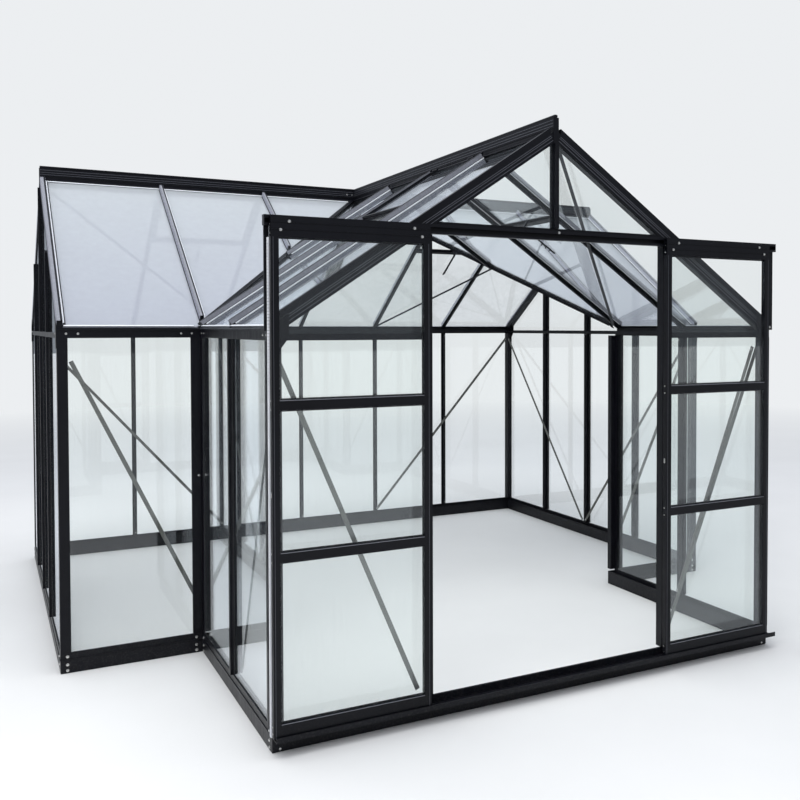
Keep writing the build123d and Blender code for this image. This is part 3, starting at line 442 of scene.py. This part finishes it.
frameFinish = powderCoatMaterial("blackPowderCoat")
plinthFinish = powderCoatMaterial("splashedPowderCoat", tone=1.1, dusty=1.7)
doorFinish = powderCoatMaterial("doorPowderCoat", tone=0.9, dusty=0.8)
braceFinish = metalMaterial(
    "millFinishStrip", (0.2, 0.2, 0.185), (0.11, 0.11, 0.1), roughness=0.42, scratches=(1, 1, 0.1)
)
# Roof braces: a dark coat that partly paints the shade they sit in, unlike the pale metal wall braces.
roofBraceCoatAndShadeFinish = powderCoatMaterial("roofBraceCoatAndShade", tone=2.2, dusty=0.0)
clearFinish = paneMaterial("clearPane", clearPane["splash"])
roofClearFinish = paneMaterial("clearRoofPane")
milkyFinish = milkyMaterial("milkyFrontPane", milkyFilm["frontCover"])
faintFinish = milkyMaterial("milkyBackPane", milkyFilm["backCover"])
boltFinish = metalMaterial("brightBolt", (0.72, 0.72, 0.7), (0.42, 0.41, 0.39), roughness=0.2)
sealFinish = plainMaterial("blackRubber", (0.008, 0.008, 0.009), (0.03, 0.031, 0.033))
nylonFinish = plainMaterial("rollerNylon", (0.05, 0.05, 0.052), (0.09, 0.09, 0.088))
brushFinish = plainMaterial(
    "paleBrush", (0.62, 0.63, 0.66), (0.8, 0.81, 0.83), roughness=0.75, grainScale=700, stretch=(1, 1, 0.2)
)
stripAndHighlightFinish = plainMaterial("palePaneStripAndHighlight", (0.66, 0.68, 0.71), (0.78, 0.8, 0.83), roughness=0.35)
# Painted sheen: these greys stand for sky light on the black ribs' sides and tops and on the door rails'
# top edges.
greySheenFinish = plainMaterial("paintedGreySheen", (0.17, 0.175, 0.2), (0.24, 0.245, 0.275), roughness=0.3)
paleRibSheenFinish = plainMaterial("paintedPaleRibSheen", (0.28, 0.285, 0.35), (0.35, 0.36, 0.43), roughness=0.3)
lineFinish = plainMaterial("greyLine", (0.06, 0.063, 0.076), (0.09, 0.094, 0.11), roughness=0.3)
print("materials made")

nodeFinishes = {
    "plinth_lengthways": plinthFinish,
    "plinth_crossways": plinthFinish,
    "sill_lengthways": plinthFinish,
    "sill_crossways": plinthFinish,
    "door_guide": plinthFinish,
    "wall_braces": braceFinish,
    "roof_braces": roofBraceCoatAndShadeFinish,
    "long_wall_panes": clearFinish,
    "end_wall_panes": clearFinish,
    "porch_side_panes": clearFinish,
    "porch_front_panes": clearFinish,
    "left_door_panes": clearFinish,
    "right_door_panes": clearFinish,
    "porch_roof_panes": roofClearFinish,
    "vent_panes": roofClearFinish,
    "back_roof_panes": faintFinish,
    "front_roof_panes": milkyFinish,
    "left_door_rollers": nylonFinish,
    "right_door_rollers": nylonFinish,
    "left_door_stiles": doorFinish,
    "left_door_rails": doorFinish,
    "right_door_stiles": doorFinish,
    "right_door_rails": doorFinish,
}
for name, node in nodes.items():
    node.data.materials.clear()
    node.data.materials.append(nodeFinishes.get(name, frameFinish))
print("frame finished:", len(nodes), "nodes")


# Helpers for the added pieces, each made from bmesh operators and left at the origin.
def keepPiece(name, mesh, material, body, smoothAngle=35):
    bmesh.ops.recalc_face_normals(mesh, faces=mesh.faces)
    data = bpy.data.meshes.new(name)
    mesh.to_mesh(data)
    mesh.free()
    piece = bpy.data.objects.new(name, data)
    bpy.context.scene.collection.objects.link(piece)
    data.materials.append(material)
    data.shade_smooth()
    data.set_sharp_from_angle(angle=math.radians(smoothAngle))
    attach(piece, body)
    return piece


def turnedTo(place, way):
    return Matrix.Translation(place) @ way.to_track_quat("Z", "Y").to_matrix().to_4x4()


def addRod(mesh, start, end, radius, sides=8):
    way = end - start
    place = turnedTo((start + end) / 2, way)
    bmesh.ops.create_cone(
        mesh,
        cap_ends=True,
        segments=sides,
        radius1=radius,
        radius2=radius,
        depth=way.length,
        matrix=place,
    )


def addBlock(mesh, place, ways, sizes, soft=0.0):
    turn = Matrix([[way[row] for way in ways] for row in range(3)]).to_4x4()
    matrix = Matrix.Translation(place) @ turn @ Matrix.Diagonal((*sizes, 1))
    made = bmesh.ops.create_cube(mesh, size=1, matrix=matrix)
    if soft:
        edges = list({edge for vert in made["verts"] for edge in vert.link_edges})
        bmesh.ops.bevel(
            mesh, geom=edges, offset=soft, segments=2, profile=0.5, affect="EDGES", material=-1
        )


worldWays = (Vector((1, 0, 0)), Vector((0, 1, 0)), upward)
boltSizes = {
    "washerRadius": 0.0066,
    "washerThick": 0.0012,
    "washerSides": 16,
    "headRadius": 0.005,
    "headTall": 0.0038,
    "chamfer": 0.0008,
    "smoothAngle": 30,
}


def addBolt(mesh, place, way, scale=1.0, washer=True):
    way = way.normalized()
    base = Vector(place)
    if washer:
        thick = boltSizes["washerThick"] * scale
        addRod(mesh, base, base + way * thick, boltSizes["washerRadius"] * scale, boltSizes["washerSides"])
        base = base + way * thick
    tall = boltSizes["headTall"] * scale
    radius = boltSizes["headRadius"] * scale
    made = bmesh.ops.create_cone(
        mesh,
        cap_ends=True,
        segments=6,
        radius1=radius,
        radius2=radius,
        depth=tall,
        matrix=turnedTo(base + way * tall / 2, way),
    )
    edges = {edge for vert in made["verts"] for edge in vert.link_edges}
    top = [
        edge
        for edge in edges
        if all((vert.co - base).dot(way) > tall * 0.9 for vert in edge.verts)
    ]
    bmesh.ops.bevel(
        mesh,
        geom=top,
        offset=boltSizes["chamfer"] * scale,
        segments=2,
        profile=0.5,
        affect="EDGES",
        material=-1,
    )


def boltPiece(name, body, places, scale=1.0, washer=True):
    mesh = bmesh.new()
    for place, way in places:
        addBolt(mesh, place, way, scale, washer)
    return keepPiece(name, mesh, boltFinish, body, boltSizes["smoothAngle"])


# Bolts that show on the house: at the plinth's corners, the eaves, the posts and the bar ends.
plinthBolts = {"inset": 0.03, "rows": (0.013, 0.04, 0.078), "scale": 1.05}


def makePlinthBolts():
    places = []
    for name in wallNames:
        outward, length = wallWays(name)[2:]
        for place in (plinthBolts["inset"], length - plinthBolts["inset"]):
            for height in plinthBolts["rows"]:
                places.append((onWall(name, place, height), outward))
    boltPiece("plinthCornerBolts", "house", places, plinthBolts["scale"])


makePlinthBolts()

eavesBolts = {
    "walls": ("wingLeft", "wingRight", "backWall", "porchLeft", "porchRight", "leftEnd", "rightEnd"),
    "height": 1.599,
    "insets": (0.04, 0.091),
    "scale": 0.8,
}


def makeEavesBolts():
    places = []
    for name in eavesBolts["walls"]:
        outward, length = wallWays(name)[2:]
        for near in eavesBolts["insets"]:
            for place in (near, length - near):
                places.append((onWall(name, place, eavesBolts["height"]), outward))
    boltPiece("eavesBolts", "house", places, eavesBolts["scale"])


makeEavesBolts()

barSteps = {
    "backWall": [plan["margin"] + plan["houseBay"] * step for step in range(1, 6)],
    "leftEnd": [plan["margin"] + plan["sideBay"] * step for step in range(1, 4)],
    "rightEnd": [plan["margin"] + plan["sideBay"] * step for step in range(1, 4)],
    "porchLeft": [plan["margin"] + plan["porchBay"]],
    "porchRight": [plan["margin"] + plan["porchBay"]],
}
barEndBolts = {"up": 0.022, "scale": 0.9}


def makeBarEndBolts():
    places = []
    for name, steps in barSteps.items():
        outward = wallWays(name)[2]
        for place in steps:
            for height in (plan["sillTop"] + barEndBolts["up"], plan["eavesLow"] - barEndBolts["up"]):
                spot = onWall(name, place, height, plan["barDepth"])
                places.append((spot, -outward))
    boltPiece("barEndBolts", "house", places, barEndBolts["scale"], washer=False)


makeBarEndBolts()

braceBolts = {
    "near": 0.062,
    "high": 1.53,
    "low": 0.116,
    "frontInset": 0.031,
    "footApart": 0.02,
    "depth": 0.045,
    "fromEnd": 0.014,
    "scale": 0.85,
}


# The two ends of each flat wall brace, as a place along the wall and a height.
def braceLines():
    near, high, low = braceBolts["near"], braceBolts["high"], braceBolts["low"]
    length = {name: wallWays(name)[3] for name in wallNames}
    wing = length["wingLeft"]
    over = near / 3
    lines = [("wingLeft", (near, high - near), (wing + over, low + near))]
    lines.append(("wingRight", (wing - near, high - near), (-over, low + near)))
    reach = plan["margin"] + 2 * plan["houseBay"]
    back = length["backWall"]
    lines.append(("backWall", (near, high), (reach, low)))
    lines.append(("backWall", (back - near, high), (back - reach, low)))
    apart = braceBolts["footApart"]
    for name in ("leftEnd", "rightEnd"):
        total = length[name]
        lines.append((name, (near, high), (total / 2 - apart, low)))
        lines.append((name, (total - near, high), (total / 2 + apart, low)))
    inset = braceBolts["frontInset"]
    span = plan["margin"] + plan["sideBay"] - inset
    total = length["porchFront"]
    lines.append(("porchFront", (inset, high), (span, low)))
    lines.append(("porchFront", (total - inset, high), (total - span, low)))
    span = plan["margin"] + plan["porchBay"]
    lines.append(("porchLeft", (length["porchLeft"] - near, high), (span, low)))
    lines.append(("porchRight", (near, high), (span, low)))
    return lines


def makeBraceBolts():
    places = []
    for name, start, end in braceLines():
        first = onWall(name, *start, braceBolts["depth"])
        last = onWall(name, *end, braceBolts["depth"])
        step = (last - first).normalized() * braceBolts["fromEnd"]
        outward = wallWays(name)[2]
        places += [(first + step, -outward), (last - step, -outward)]
    boltPiece("braceBolts", "house", places, braceBolts["scale"])


makeBraceBolts()

ridgeFront = plan["wingLine"] + ridgeReach - plan["ridgeHalf"]
frontWay = Vector((0, -1, 0))
frontBolts = {
    "ridgeAcross": (0.024, 0.06),
    "ridgeHeight": 2.526,
    "trackHeight": 2.0445,
    "strutHeight": 1.63,
    "strutAcross": 1.279,
    "strutDepth": 0.009,
    "postClip": 0.89,
    "postClipInset": 0.012,
    "scale": 0.9,
}


def makeFrontBolts():
    places = []
    for side in (-1, 1):
        for across in frontBolts["ridgeAcross"]:
            places.append((Vector((side * across, ridgeFront, frontBolts["ridgeHeight"])), frontWay))
        across = side * frontBolts["strutAcross"]
        depth = plan["porchLine"] - frontBolts["strutDepth"]
        places.append((Vector((across, depth, frontBolts["strutHeight"])), frontWay))
        across = side * (plan["porchHalf"] + frontBolts["postClipInset"])
        places.append((Vector((across, plan["wingLine"], frontBolts["postClip"])), frontWay))
    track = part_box("door_track")
    places.append((Vector((0, track[0].y, frontBolts["trackHeight"])), frontWay))
    boltPiece("frontBolts", "house", places, frontBolts["scale"])


makeFrontBolts()
print("house bolts made")

# Bolts and screws of the door leaves; heights are counted from a leaf's foot.
doorBolts = {
    "upperRow": (0.070, 1.9505),
    "lowerRow": (0.037, 1.918),
    "scale": 0.9,
    "screwDepth": 0.012,
    "screwRadius": 0.0034,
    "screwTall": 0.0018,
    "screwSides": 14,
    "screwHeights": (0.018, 0.044, 0.6685, 0.7015, 1.2445, 1.2775, 1.905, 1.938),
    "catchHeight": 0.925,
    "catchSizes": (0.0022, 0.008, 0.022),
    "catchSoft": 0.0006,
}


def makeDoorBolts(side):
    low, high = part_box(side + "_door_stiles")
    places = []
    for inset, height in (doorBolts["upperRow"], doorBolts["lowerRow"]):
        for across in (low.x + inset, high.x - inset):
            places.append((Vector((across, low.y, low.z + height)), frontWay))
    boltPiece(side + "DoorBolts", side + "_door", places, doorBolts["scale"])


# Flat screws in the leaf's edges, where its rails end, and a small catch on the left edge.
def makeDoorScrews(side):
    low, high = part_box(side + "_door_stiles")
    depth = low.y + doorBolts["screwDepth"]
    radius, sides = doorBolts["screwRadius"], doorBolts["screwSides"]
    mesh = bmesh.new()
    for across, way in ((low.x, Vector((-1, 0, 0))), (high.x, Vector((1, 0, 0)))):
        for height in doorBolts["screwHeights"]:
            start = Vector((across, depth, low.z + height))
            addRod(mesh, start, start + way * doorBolts["screwTall"], radius, sides)
    thick, wide, tall = doorBolts["catchSizes"]
    centre = Vector((low.x - thick / 2, depth, low.z + doorBolts["catchHeight"]))
    addBlock(mesh, centre, worldWays, (thick, wide, tall), doorBolts["catchSoft"])
    keepPiece(side + "DoorScrews", mesh, boltFinish, side + "_door")


doorBrush = {"out": 0.005, "inward": 0.004, "depth": 0.018, "pitch": 0.012, "gap": 0.0012}


# The pale brush strip that closes the gap between a leaf's outer edge and the house.
def makeDoorBrush(side):
    low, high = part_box(side + "_door_stiles")
    edge = low.x if side == "left" else high.x
    way = -1 if side == "left" else 1
    wide = doorBrush["out"] + doorBrush["inward"]
    across = edge + way * (doorBrush["out"] - doorBrush["inward"]) / 2
    mesh = bmesh.new()
    count = int((high.z - low.z) / doorBrush["pitch"])
    tall = (high.z - low.z) / count
    for step in range(count):
        centre = Vector((across, high.y + doorBrush["depth"] / 2, low.z + (step + 0.5) * tall))
        sizes = (wide, doorBrush["depth"], tall - doorBrush["gap"])
        addBlock(mesh, centre, worldWays, sizes)
    keepPiece(side + "DoorBrush", mesh, brushFinish, side + "_door")


doorLines = {
    "inset": 0.0085,
    "wide": 0.0014,
    "proud": 0.0006,
    "railTops": (0.0515, 0.7025, 1.2785),
    "railWide": 0.0022,
    "stileWide": 0.03,
}


# Fine lines down the stiles, and painted highlight lines along the top edges of the rails.
def makeDoorLines(side):
    low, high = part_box(side + "_door_stiles")
    mesh = bmesh.new()
    for across in (low.x + doorLines["inset"], high.x - doorLines["inset"]):
        centre = Vector((across, low.y - doorLines["proud"] / 2, (low.z + high.z) / 2))
        addBlock(mesh, centre, worldWays, (doorLines["wide"], doorLines["proud"], high.z - low.z))
    keepPiece(side + "DoorLines", mesh, lineFinish, side + "_door")
    # Painted highlight: lighter grey lines along the top edges of the rails.
    mesh = bmesh.new()
    length = high.x - low.x - 2 * doorLines["stileWide"]
    for rise in doorLines["railTops"]:
        centre = Vector(((low.x + high.x) / 2, low.y - doorLines["proud"] / 2, low.z + rise))
        addBlock(mesh, centre, worldWays, (length, doorLines["proud"], doorLines["railWide"]))
    keepPiece(side + "RailHighlights", mesh, greySheenFinish, side + "_door")


for side in ("left", "right"):
    makeDoorBolts(side)
    makeDoorScrews(side)
    makeDoorBrush(side)
    makeDoorLines(side)
print("door pieces made")


# Every bar and rafter of the roof: its slope, its place and how far up it starts.
def roofRuns():
    jack = plan["porchHalf"] - plan["jackInset"]
    runs = [("back", plan["houseBay"] * step, 0.0) for step in (-2, -1, 0, 1, 2)]
    for side in (-1, 1):
        for place in (jack, plan["houseBay"]):
            runs.append(("front", side * place, plan["porchHalf"] - place + plan["valleyClear"]))
    first = plan["porchLine"] + plan["margin"] + plan["porchBay"]
    cross = plan["wingLine"] + plan["crossBar"]
    for name in ("left", "right"):
        runs.append((name, first, 0.0))
        runs.append((name, first + plan["porchBay"], 0.0))
        runs.append((name, cross, plan["crossBar"] + plan["valleyClear"]))
    return runs


def rafterRuns():
    inset = plan["rafterHalf"]
    runs = []
    for name in ("back", "front"):
        runs += [(name, side * (plan["houseHalf"] - inset), 0.0) for side in (-1, 1)]
    runs += [(name, plan["porchLine"] + inset, 0.0) for name in ("left", "right")]
    return runs


def slopeRise(name):
    return slopes[name][2] * math.cos(roofTilt) + upward * math.sin(roofTilt)


# A flat strip that runs up a slope between two reaches, its height counted over the glass.
def addRisingStrip(mesh, name, place, reaches, heights, wide):
    low, high = heights
    centre = onSlope(name, place, sum(reaches) / 2, -(low + high) / 2)
    length = (reaches[1] - reaches[0]) / math.cos(roofTilt)
    ways = (slopeRise(name), slopes[name][1], slopeNormal(name))
    addBlock(mesh, centre, ways, (length, wide, high - low))


ribTop = plan["porchHalf"] - plan["flangeReach"] - plan["ribShort"]
ribSheen = {
    "heights": (0.002, 0.0225),
    "thick": 0.0009,
    "end": 0.006,
    "barTopWide": 0.012,
    "barTopShift": -0.0035,
    "rafterTopWide": 0.016,
    "rafterTopShift": 0.0045,
}


def addRibSides(mesh, run, half):
    name, place, first = run
    reaches = (first + ribSheen["end"], ribTop)
    thick = ribSheen["thick"]
    for side in (-1, 1):
        across = place + side * (half + thick / 2)
        addRisingStrip(mesh, name, across, reaches, ribSheen["heights"], thick)


def addRibTop(mesh, run, shift, wide):
    name, place, first = run
    heights = (plan["ribTall"], plan["ribTall"] + ribSheen["thick"])
    reaches = (first + ribSheen["end"], ribTop)
    addRisingStrip(mesh, name, place + shift, reaches, heights, wide)


# Painted sheen strips on both sides of each rib, standing for sky light on the black bars: pale ones on
# the main roof, greyer ones on the porch.
def makeRibSheen():
    mainRoof = ("back", "front")
    mesh = bmesh.new()
    for run in roofRuns():
        if run[0] not in mainRoof:
            addRibSides(mesh, run, plan["ribHalf"])
    keepPiece("porchRibSheen", mesh, greySheenFinish, "house")
    mesh = bmesh.new()
    # Painted highlight strips along the tops of the main-roof ribs and rafters.
    tops = bmesh.new()
    for run in roofRuns():
        if run[0] in mainRoof:
            addRibSides(mesh, run, plan["ribHalf"])
            addRibTop(tops, run, ribSheen["barTopShift"], ribSheen["barTopWide"])
    for run in rafterRuns():
        if run[0] in mainRoof:
            addRibSides(mesh, run, plan["rafterHalf"])
            shift = math.copysign(ribSheen["rafterTopShift"], run[1])
            addRibTop(tops, run, shift, ribSheen["rafterTopWide"])
    keepPiece("mainRibSheen", mesh, paleRibSheenFinish, "house")
    keepPiece("mainRibTopSheen", tops, greySheenFinish, "house")


makeRibSheen()

rafterLines = {"heights": (-0.008, -0.016, -0.029), "tall": 0.0024, "proud": 0.0007, "end": 0.04}


# Fine lines drawn along the outer faces of the gable rafters.
def makeRafterLines():
    mesh = bmesh.new()
    for name, place, _ in rafterRuns():
        side = math.copysign(1, place)
        across = place + side * (plan["rafterHalf"] + rafterLines["proud"] / 2)
        for height in rafterLines["heights"]:
            heights = (height, height + rafterLines["tall"])
            reaches = (rafterLines["end"], ribTop)
            addRisingStrip(mesh, name, across, reaches, heights, rafterLines["proud"])
    keepPiece("rafterLines", mesh, lineFinish, "house")


makeRafterLines()

peakHeight = plan["roofEdge"] + plan["porchHalf"] * math.tan(roofTilt)
ridgeLines = {"heights": (0.009, 0.021, 0.035), "tall": 0.0022, "proud": 0.0007, "crossing": 0.018}


def makeRidgeLines():
    mesh = bmesh.new()
    centreLine = plan["wingLine"] + ridgeReach
    half = plan["ridgeHalf"] + ridgeLines["proud"] / 2
    proud, tall = ridgeLines["proud"], ridgeLines["tall"]
    crossing = ridgeLines["crossing"]
    wing = plan["houseHalf"] - crossing
    porch = centreLine - crossing - plan["porchLine"]
    for rise in ridgeLines["heights"]:
        height = peakHeight + plan["ridgeBandLow"] + rise
        spot = Vector((0, centreLine + half, height))
        addBlock(mesh, spot, worldWays, (2 * plan["houseHalf"], proud, tall))
        for side in (-1, 1):
            spot = Vector((side * (crossing + wing / 2), centreLine - half, height))
            addBlock(mesh, spot, worldWays, (wing, proud, tall))
            spot = Vector((side * half, plan["porchLine"] + porch / 2, height))
            addBlock(mesh, spot, worldWays, (proud, porch, tall))
    keepPiece("ridgeLines", mesh, lineFinish, "house")


makeRidgeLines()
print("roof strips made")


# Black rubber between the wall covers and the glass, pale strips between roof bars and glass; on the front
# slope the strip on each bar's +x side is a painted highlight.
sealStrip = {"radius": 0.0016, "out": 0.0012, "depth": 0.0036, "cover": 0.044}


def addWallSeals(mesh, name, places, low, high):
    for place in places:
        bottom = onWall(name, place, low, sealStrip["depth"])
        top = onWall(name, place, high, sealStrip["depth"])
        addRod(mesh, bottom, top, sealStrip["radius"])


def makeWallSeals():
    mesh = bmesh.new()
    half = plan["capHalf"] + sealStrip["out"]
    for name, steps in barSteps.items():
        places = [step + sign * half for step in steps for sign in (-1, 1)]
        addWallSeals(mesh, name, places, plan["sillTop"], plan["eavesLow"])
    for name in wallNames:
        length = wallWays(name)[3]
        edge = sealStrip["cover"] + sealStrip["out"]
        addWallSeals(mesh, name, [edge, length - edge], plan["sillTop"], plan["eavesLow"])
    keepPiece("wallSeals", mesh, sealFinish, "house")


makeWallSeals()

paneStrips = {
    "radius": 0.0021,
    "out": 0.0018,
    "depth": 0.0022,
    "footClear": 0.02,
    "flatWide": 0.009,
    "flatHeights": (-0.0015, 0.0012),
    "headWide": 0.008,
    "footWide": 0.008,
    "footTall": 0.003,
    "footOver": 0.002,
    "footSunk": 0.001,
    "footShort": 0.06,
    "footSoft": 0.0008,
}


# Flat pale strips beside the bars of the front slope, on each bar's +x side only, are a painted highlight
# along the glass's edge, and thin round ones go on the other slopes. A rafter has its strip on the side of
# the glass alone.
def makePaneStripsAndHighlights():
    mesh = bmesh.new()
    rows = []
    flatRows = []
    flatOut = paneStrips["flatWide"] / 2
    for name, place, first in roofRuns():
        half = plan["capHalf"] + paneStrips["out"]
        if name == "front":
            # Painted highlight: a flat pale strip on the bar's +x side only.
            flatRows.append((name, place + plan["capHalf"] + flatOut, first))
        else:
            rows += [(name, place - half, first), (name, place + half, first)]
    for name, place, first in rafterRuns():
        flat = name == "front"
        half = plan["rafterHalf"] + (flatOut if flat else paneStrips["out"])
        (flatRows if flat else rows).append((name, place - math.copysign(half, place), first))
    for name, across, first in rows:
        foot = onSlope(name, across, first + paneStrips["footClear"], paneStrips["depth"])
        head = onSlope(name, across, ribTop, paneStrips["depth"])
        addRod(mesh, foot, head, paneStrips["radius"])
    for name, across, first in flatRows:
        reaches = (first + paneStrips["footClear"], ribTop)
        addRisingStrip(mesh, name, across, reaches, paneStrips["flatHeights"], paneStrips["flatWide"])
    keepPiece("roofPaneStripsAndHighlights", mesh, stripAndHighlightFinish, "house")


makePaneStripsAndHighlights()


# The pale strip along the foot of the roof glass, over each eaves beam.
def makeFootStrips():
    mesh = bmesh.new()
    wide, tall = paneStrips["footWide"], paneStrips["footTall"]
    wing = plan["houseHalf"] - plan["porchHalf"]
    porch = plan["wingLine"] - plan["porchLine"]
    wingMiddle = plan["porchHalf"] + wing / 2
    porchMiddle = (plan["wingLine"] + plan["porchLine"]) / 2
    rows = [("back", 0, 2 * plan["houseHalf"])]
    rows += [("front", side * wingMiddle, wing) for side in (-1, 1)]
    rows += [(name, porchMiddle, porch) for name in ("left", "right")]
    for name, middle, length in rows:
        reach = wide / 2 - paneStrips["footOver"]
        centre = onSlope(name, middle, reach, tall / 2 - paneStrips["footSunk"])
        ways = (slopes[name][1], slopeRise(name), slopeNormal(name))
        sizes = (length - paneStrips["footShort"], wide, tall)
        addBlock(mesh, centre, ways, sizes, paneStrips["footSoft"])
    keepPiece("footStrips", mesh, stripAndHighlightFinish, "house")


makeFootStrips()


# The pale edge of the front glass where it tucks under the ridge.
def makeHeadStrips():
    mesh = bmesh.new()
    low, high = paneStrips["flatHeights"]
    wide = paneStrips["headWide"]
    top = plan["porchHalf"] - plan["flangeReach"] - wide / 2
    first = plan["flangeReach"] + plan["valleyClear"] + wide
    length = plan["houseHalf"] - 2 * plan["rafterHalf"] - first
    for side in (-1, 1):
        centre = onSlope("front", side * (first + length / 2), top, -(low + high) / 2)
        ways = (slopes["front"][1], slopeRise("front"), slopeNormal("front"))
        addBlock(mesh, centre, ways, (length, wide, high - low))
    keepPiece("headStrips", mesh, stripAndHighlightFinish, "house")


makeHeadStrips()
print("seals made")

ventFittings = {
    "hingeRadius": 0.005,
    "hingeLong": 0.06,
    "hingeSides": 12,
    "hingeInset": 0.09,
    "hingeReach": 0.034,
    "hingeDepth": -0.019,
    "pegRadius": 0.003,
    "pegLong": 0.02,
    "pegSides": 10,
    "pegShare": 0.4,
    "armDepth": 0.047,
    "pegReaches": (0.27, 0.33, 0.39),
    "ventReach": 0.43,
}


def ventSpans():
    bay = plan["houseBay"]
    first = plan["porchLine"] + plan["margin"] + plan["porchBay"]
    spans = [("back", -2 * bay, -bay), ("back", bay, 2 * bay)]
    spans += [(name, first, first + plan["porchBay"]) for name in ("left", "right")]
    return spans


# Hinge knuckles under the ridge and the pegs that hold each vent's stay.
def makeVentFittings():
    mesh = bmesh.new()
    for name, first, last in ventSpans():
        along = slopes[name][1]
        reach = plan["porchHalf"] - ventFittings["hingeReach"]
        for place in (first + ventFittings["hingeInset"], last - ventFittings["hingeInset"]):
            centre = onSlope(name, place, reach, ventFittings["hingeDepth"])
            half = along * ventFittings["hingeLong"] / 2
            radius, sides = ventFittings["hingeRadius"], ventFittings["hingeSides"]
            addRod(mesh, centre - half, centre + half, radius, sides)
        middle = (first + last) / 2
        low = plan["porchHalf"] - ventFittings["ventReach"]
        for reach in ventFittings["pegReaches"]:
            spot = low - reach * ventFittings["pegShare"]
            base = onSlope(name, middle, spot, ventFittings["armDepth"])
            peg = slopeNormal(name) * ventFittings["pegLong"] / 2
            addRod(mesh, base - peg, base + peg, ventFittings["pegRadius"], ventFittings["pegSides"])
    keepPiece("ventFittings", mesh, frameFinish, "house")


makeVentFittings()
print("vent fittings made")


# Floor, backdrop and light.
studio = {
    "floor": (0.74, 0.735, 0.72),
    "back": (0.84, 0.86, 0.88),
    "fadeStart": 5.5,
    "fadeEnd": 15.0,
    "floorHalf": 60,
    "floorHeight": -0.001,
    "floorRough": 0.85,
    "grainScale": 1.1,
    "grainBand": (0.3, 0.7),
    "grainShade": 0.96,
    "skyTop": 0.75,
    "transparentBounces": 48,
    "skyHigh": (0.9, 0.95, 1.05),
    "skyLow": (0.3, 0.32, 0.35),
    "skyStrength": 0.95,
}


# The floor keeps the shadow near the house and turns into the backdrop farther out.
def makeFloor():
    mesh = bmesh.new()
    bmesh.ops.create_grid(mesh, x_segments=1, y_segments=1, size=studio["floorHalf"])
    data = bpy.data.meshes.new("studioFloor")
    mesh.to_mesh(data)
    mesh.free()
    floor = bpy.data.objects.new("studioFloor", data)
    floor.location.z = studio["floorHeight"]
    bpy.context.scene.collection.objects.link(floor)
    material, tree = startMaterial("paleFloor")
    grain = noiseValue(tree, studio["grainScale"], detail=3)
    grain = remap(tree, grain, *studio["grainBand"])
    shade = tuple(channel * studio["grainShade"] for channel in studio["floor"])
    shader = addNode(tree, "ShaderNodeBsdfPrincipled", Roughness=studio["floorRough"])
    tree.links.new(blendColours(tree, grain, shade, studio["floor"]), shader.inputs["Base Color"])
    far = addNode(tree, "ShaderNodeEmission", Strength=1.0)
    far.inputs["Color"].default_value = (*studio["back"], 1)
    place = addNode(tree, "ShaderNodeTexCoord")
    reach = addNode(tree, "ShaderNodeVectorMath", operation="LENGTH")
    tree.links.new(place.outputs["Object"], reach.inputs[0])
    fade = remap(tree, reach.outputs["Value"], studio["fadeStart"], studio["fadeEnd"])
    faded = mixShaders(tree, fade, shader.outputs["BSDF"], far.outputs["Emission"])
    data.materials.append(finishMaterial(material, faded))


# The sky that lights the house is bright overhead and dim at the sides.
def makeWorld():
    world = bpy.data.worlds.new("softSky")
    bpy.context.scene.world = world
    world.use_nodes = True
    tree = world.node_tree
    tree.nodes.clear()
    way = addNode(tree, "ShaderNodeTexCoord")
    parts = addNode(tree, "ShaderNodeSeparateXYZ")
    tree.links.new(way.outputs["Generated"], parts.inputs["Vector"])
    rise = remap(tree, parts.outputs["Z"], 0.0, studio["skyTop"])
    sky = blendColours(tree, rise, studio["skyLow"], studio["skyHigh"])
    lit = addNode(tree, "ShaderNodeBackground", Strength=studio["skyStrength"])
    tree.links.new(sky, lit.inputs["Color"])
    seen = addNode(tree, "ShaderNodeBackground", Strength=1.0)
    seen.inputs["Color"].default_value = (*studio["back"], 1)
    path = addNode(tree, "ShaderNodeLightPath")
    rays = combine(tree, "MAXIMUM", path.outputs["Is Camera Ray"], path.outputs["Is Transmission Ray"])
    mixed = mixShaders(tree, rays, lit.outputs["Background"], seen.outputs["Background"])
    output = addNode(tree, "ShaderNodeOutputWorld")
    tree.links.new(mixed, output.inputs["Surface"])


lamps = {
    "skyPanel": {"place": (-1.5, -1.0, 7.5), "aim": (0, 0.2, 0.8), "size": 7.0, "power": 480},
    "frontPanel": {"place": (-6.5, -7.0, 5.5), "aim": (0, -0.5, 1.1), "size": 5.0, "power": 200},
}


def makeLamps():
    for name, lamp in lamps.items():
        data = bpy.data.lights.new(name, "AREA")
        data.shape = "SQUARE"
        data.size = lamp["size"]
        data.energy = lamp["power"]
        light = bpy.data.objects.new(name, data)
        light.location = lamp["place"]
        light.visible_glossy = False
        way = Vector(lamp["aim"]) - Vector(lamp["place"])
        light.rotation_euler = way.to_track_quat("-Z", "Y").to_euler()
        bpy.context.scene.collection.objects.link(light)


makeFloor()
makeWorld()
makeLamps()
bpy.context.scene.view_settings.view_transform = "Standard"
bpy.context.scene.cycles.transparent_max_bounces = studio["transparentBounces"]
print("studio ready")
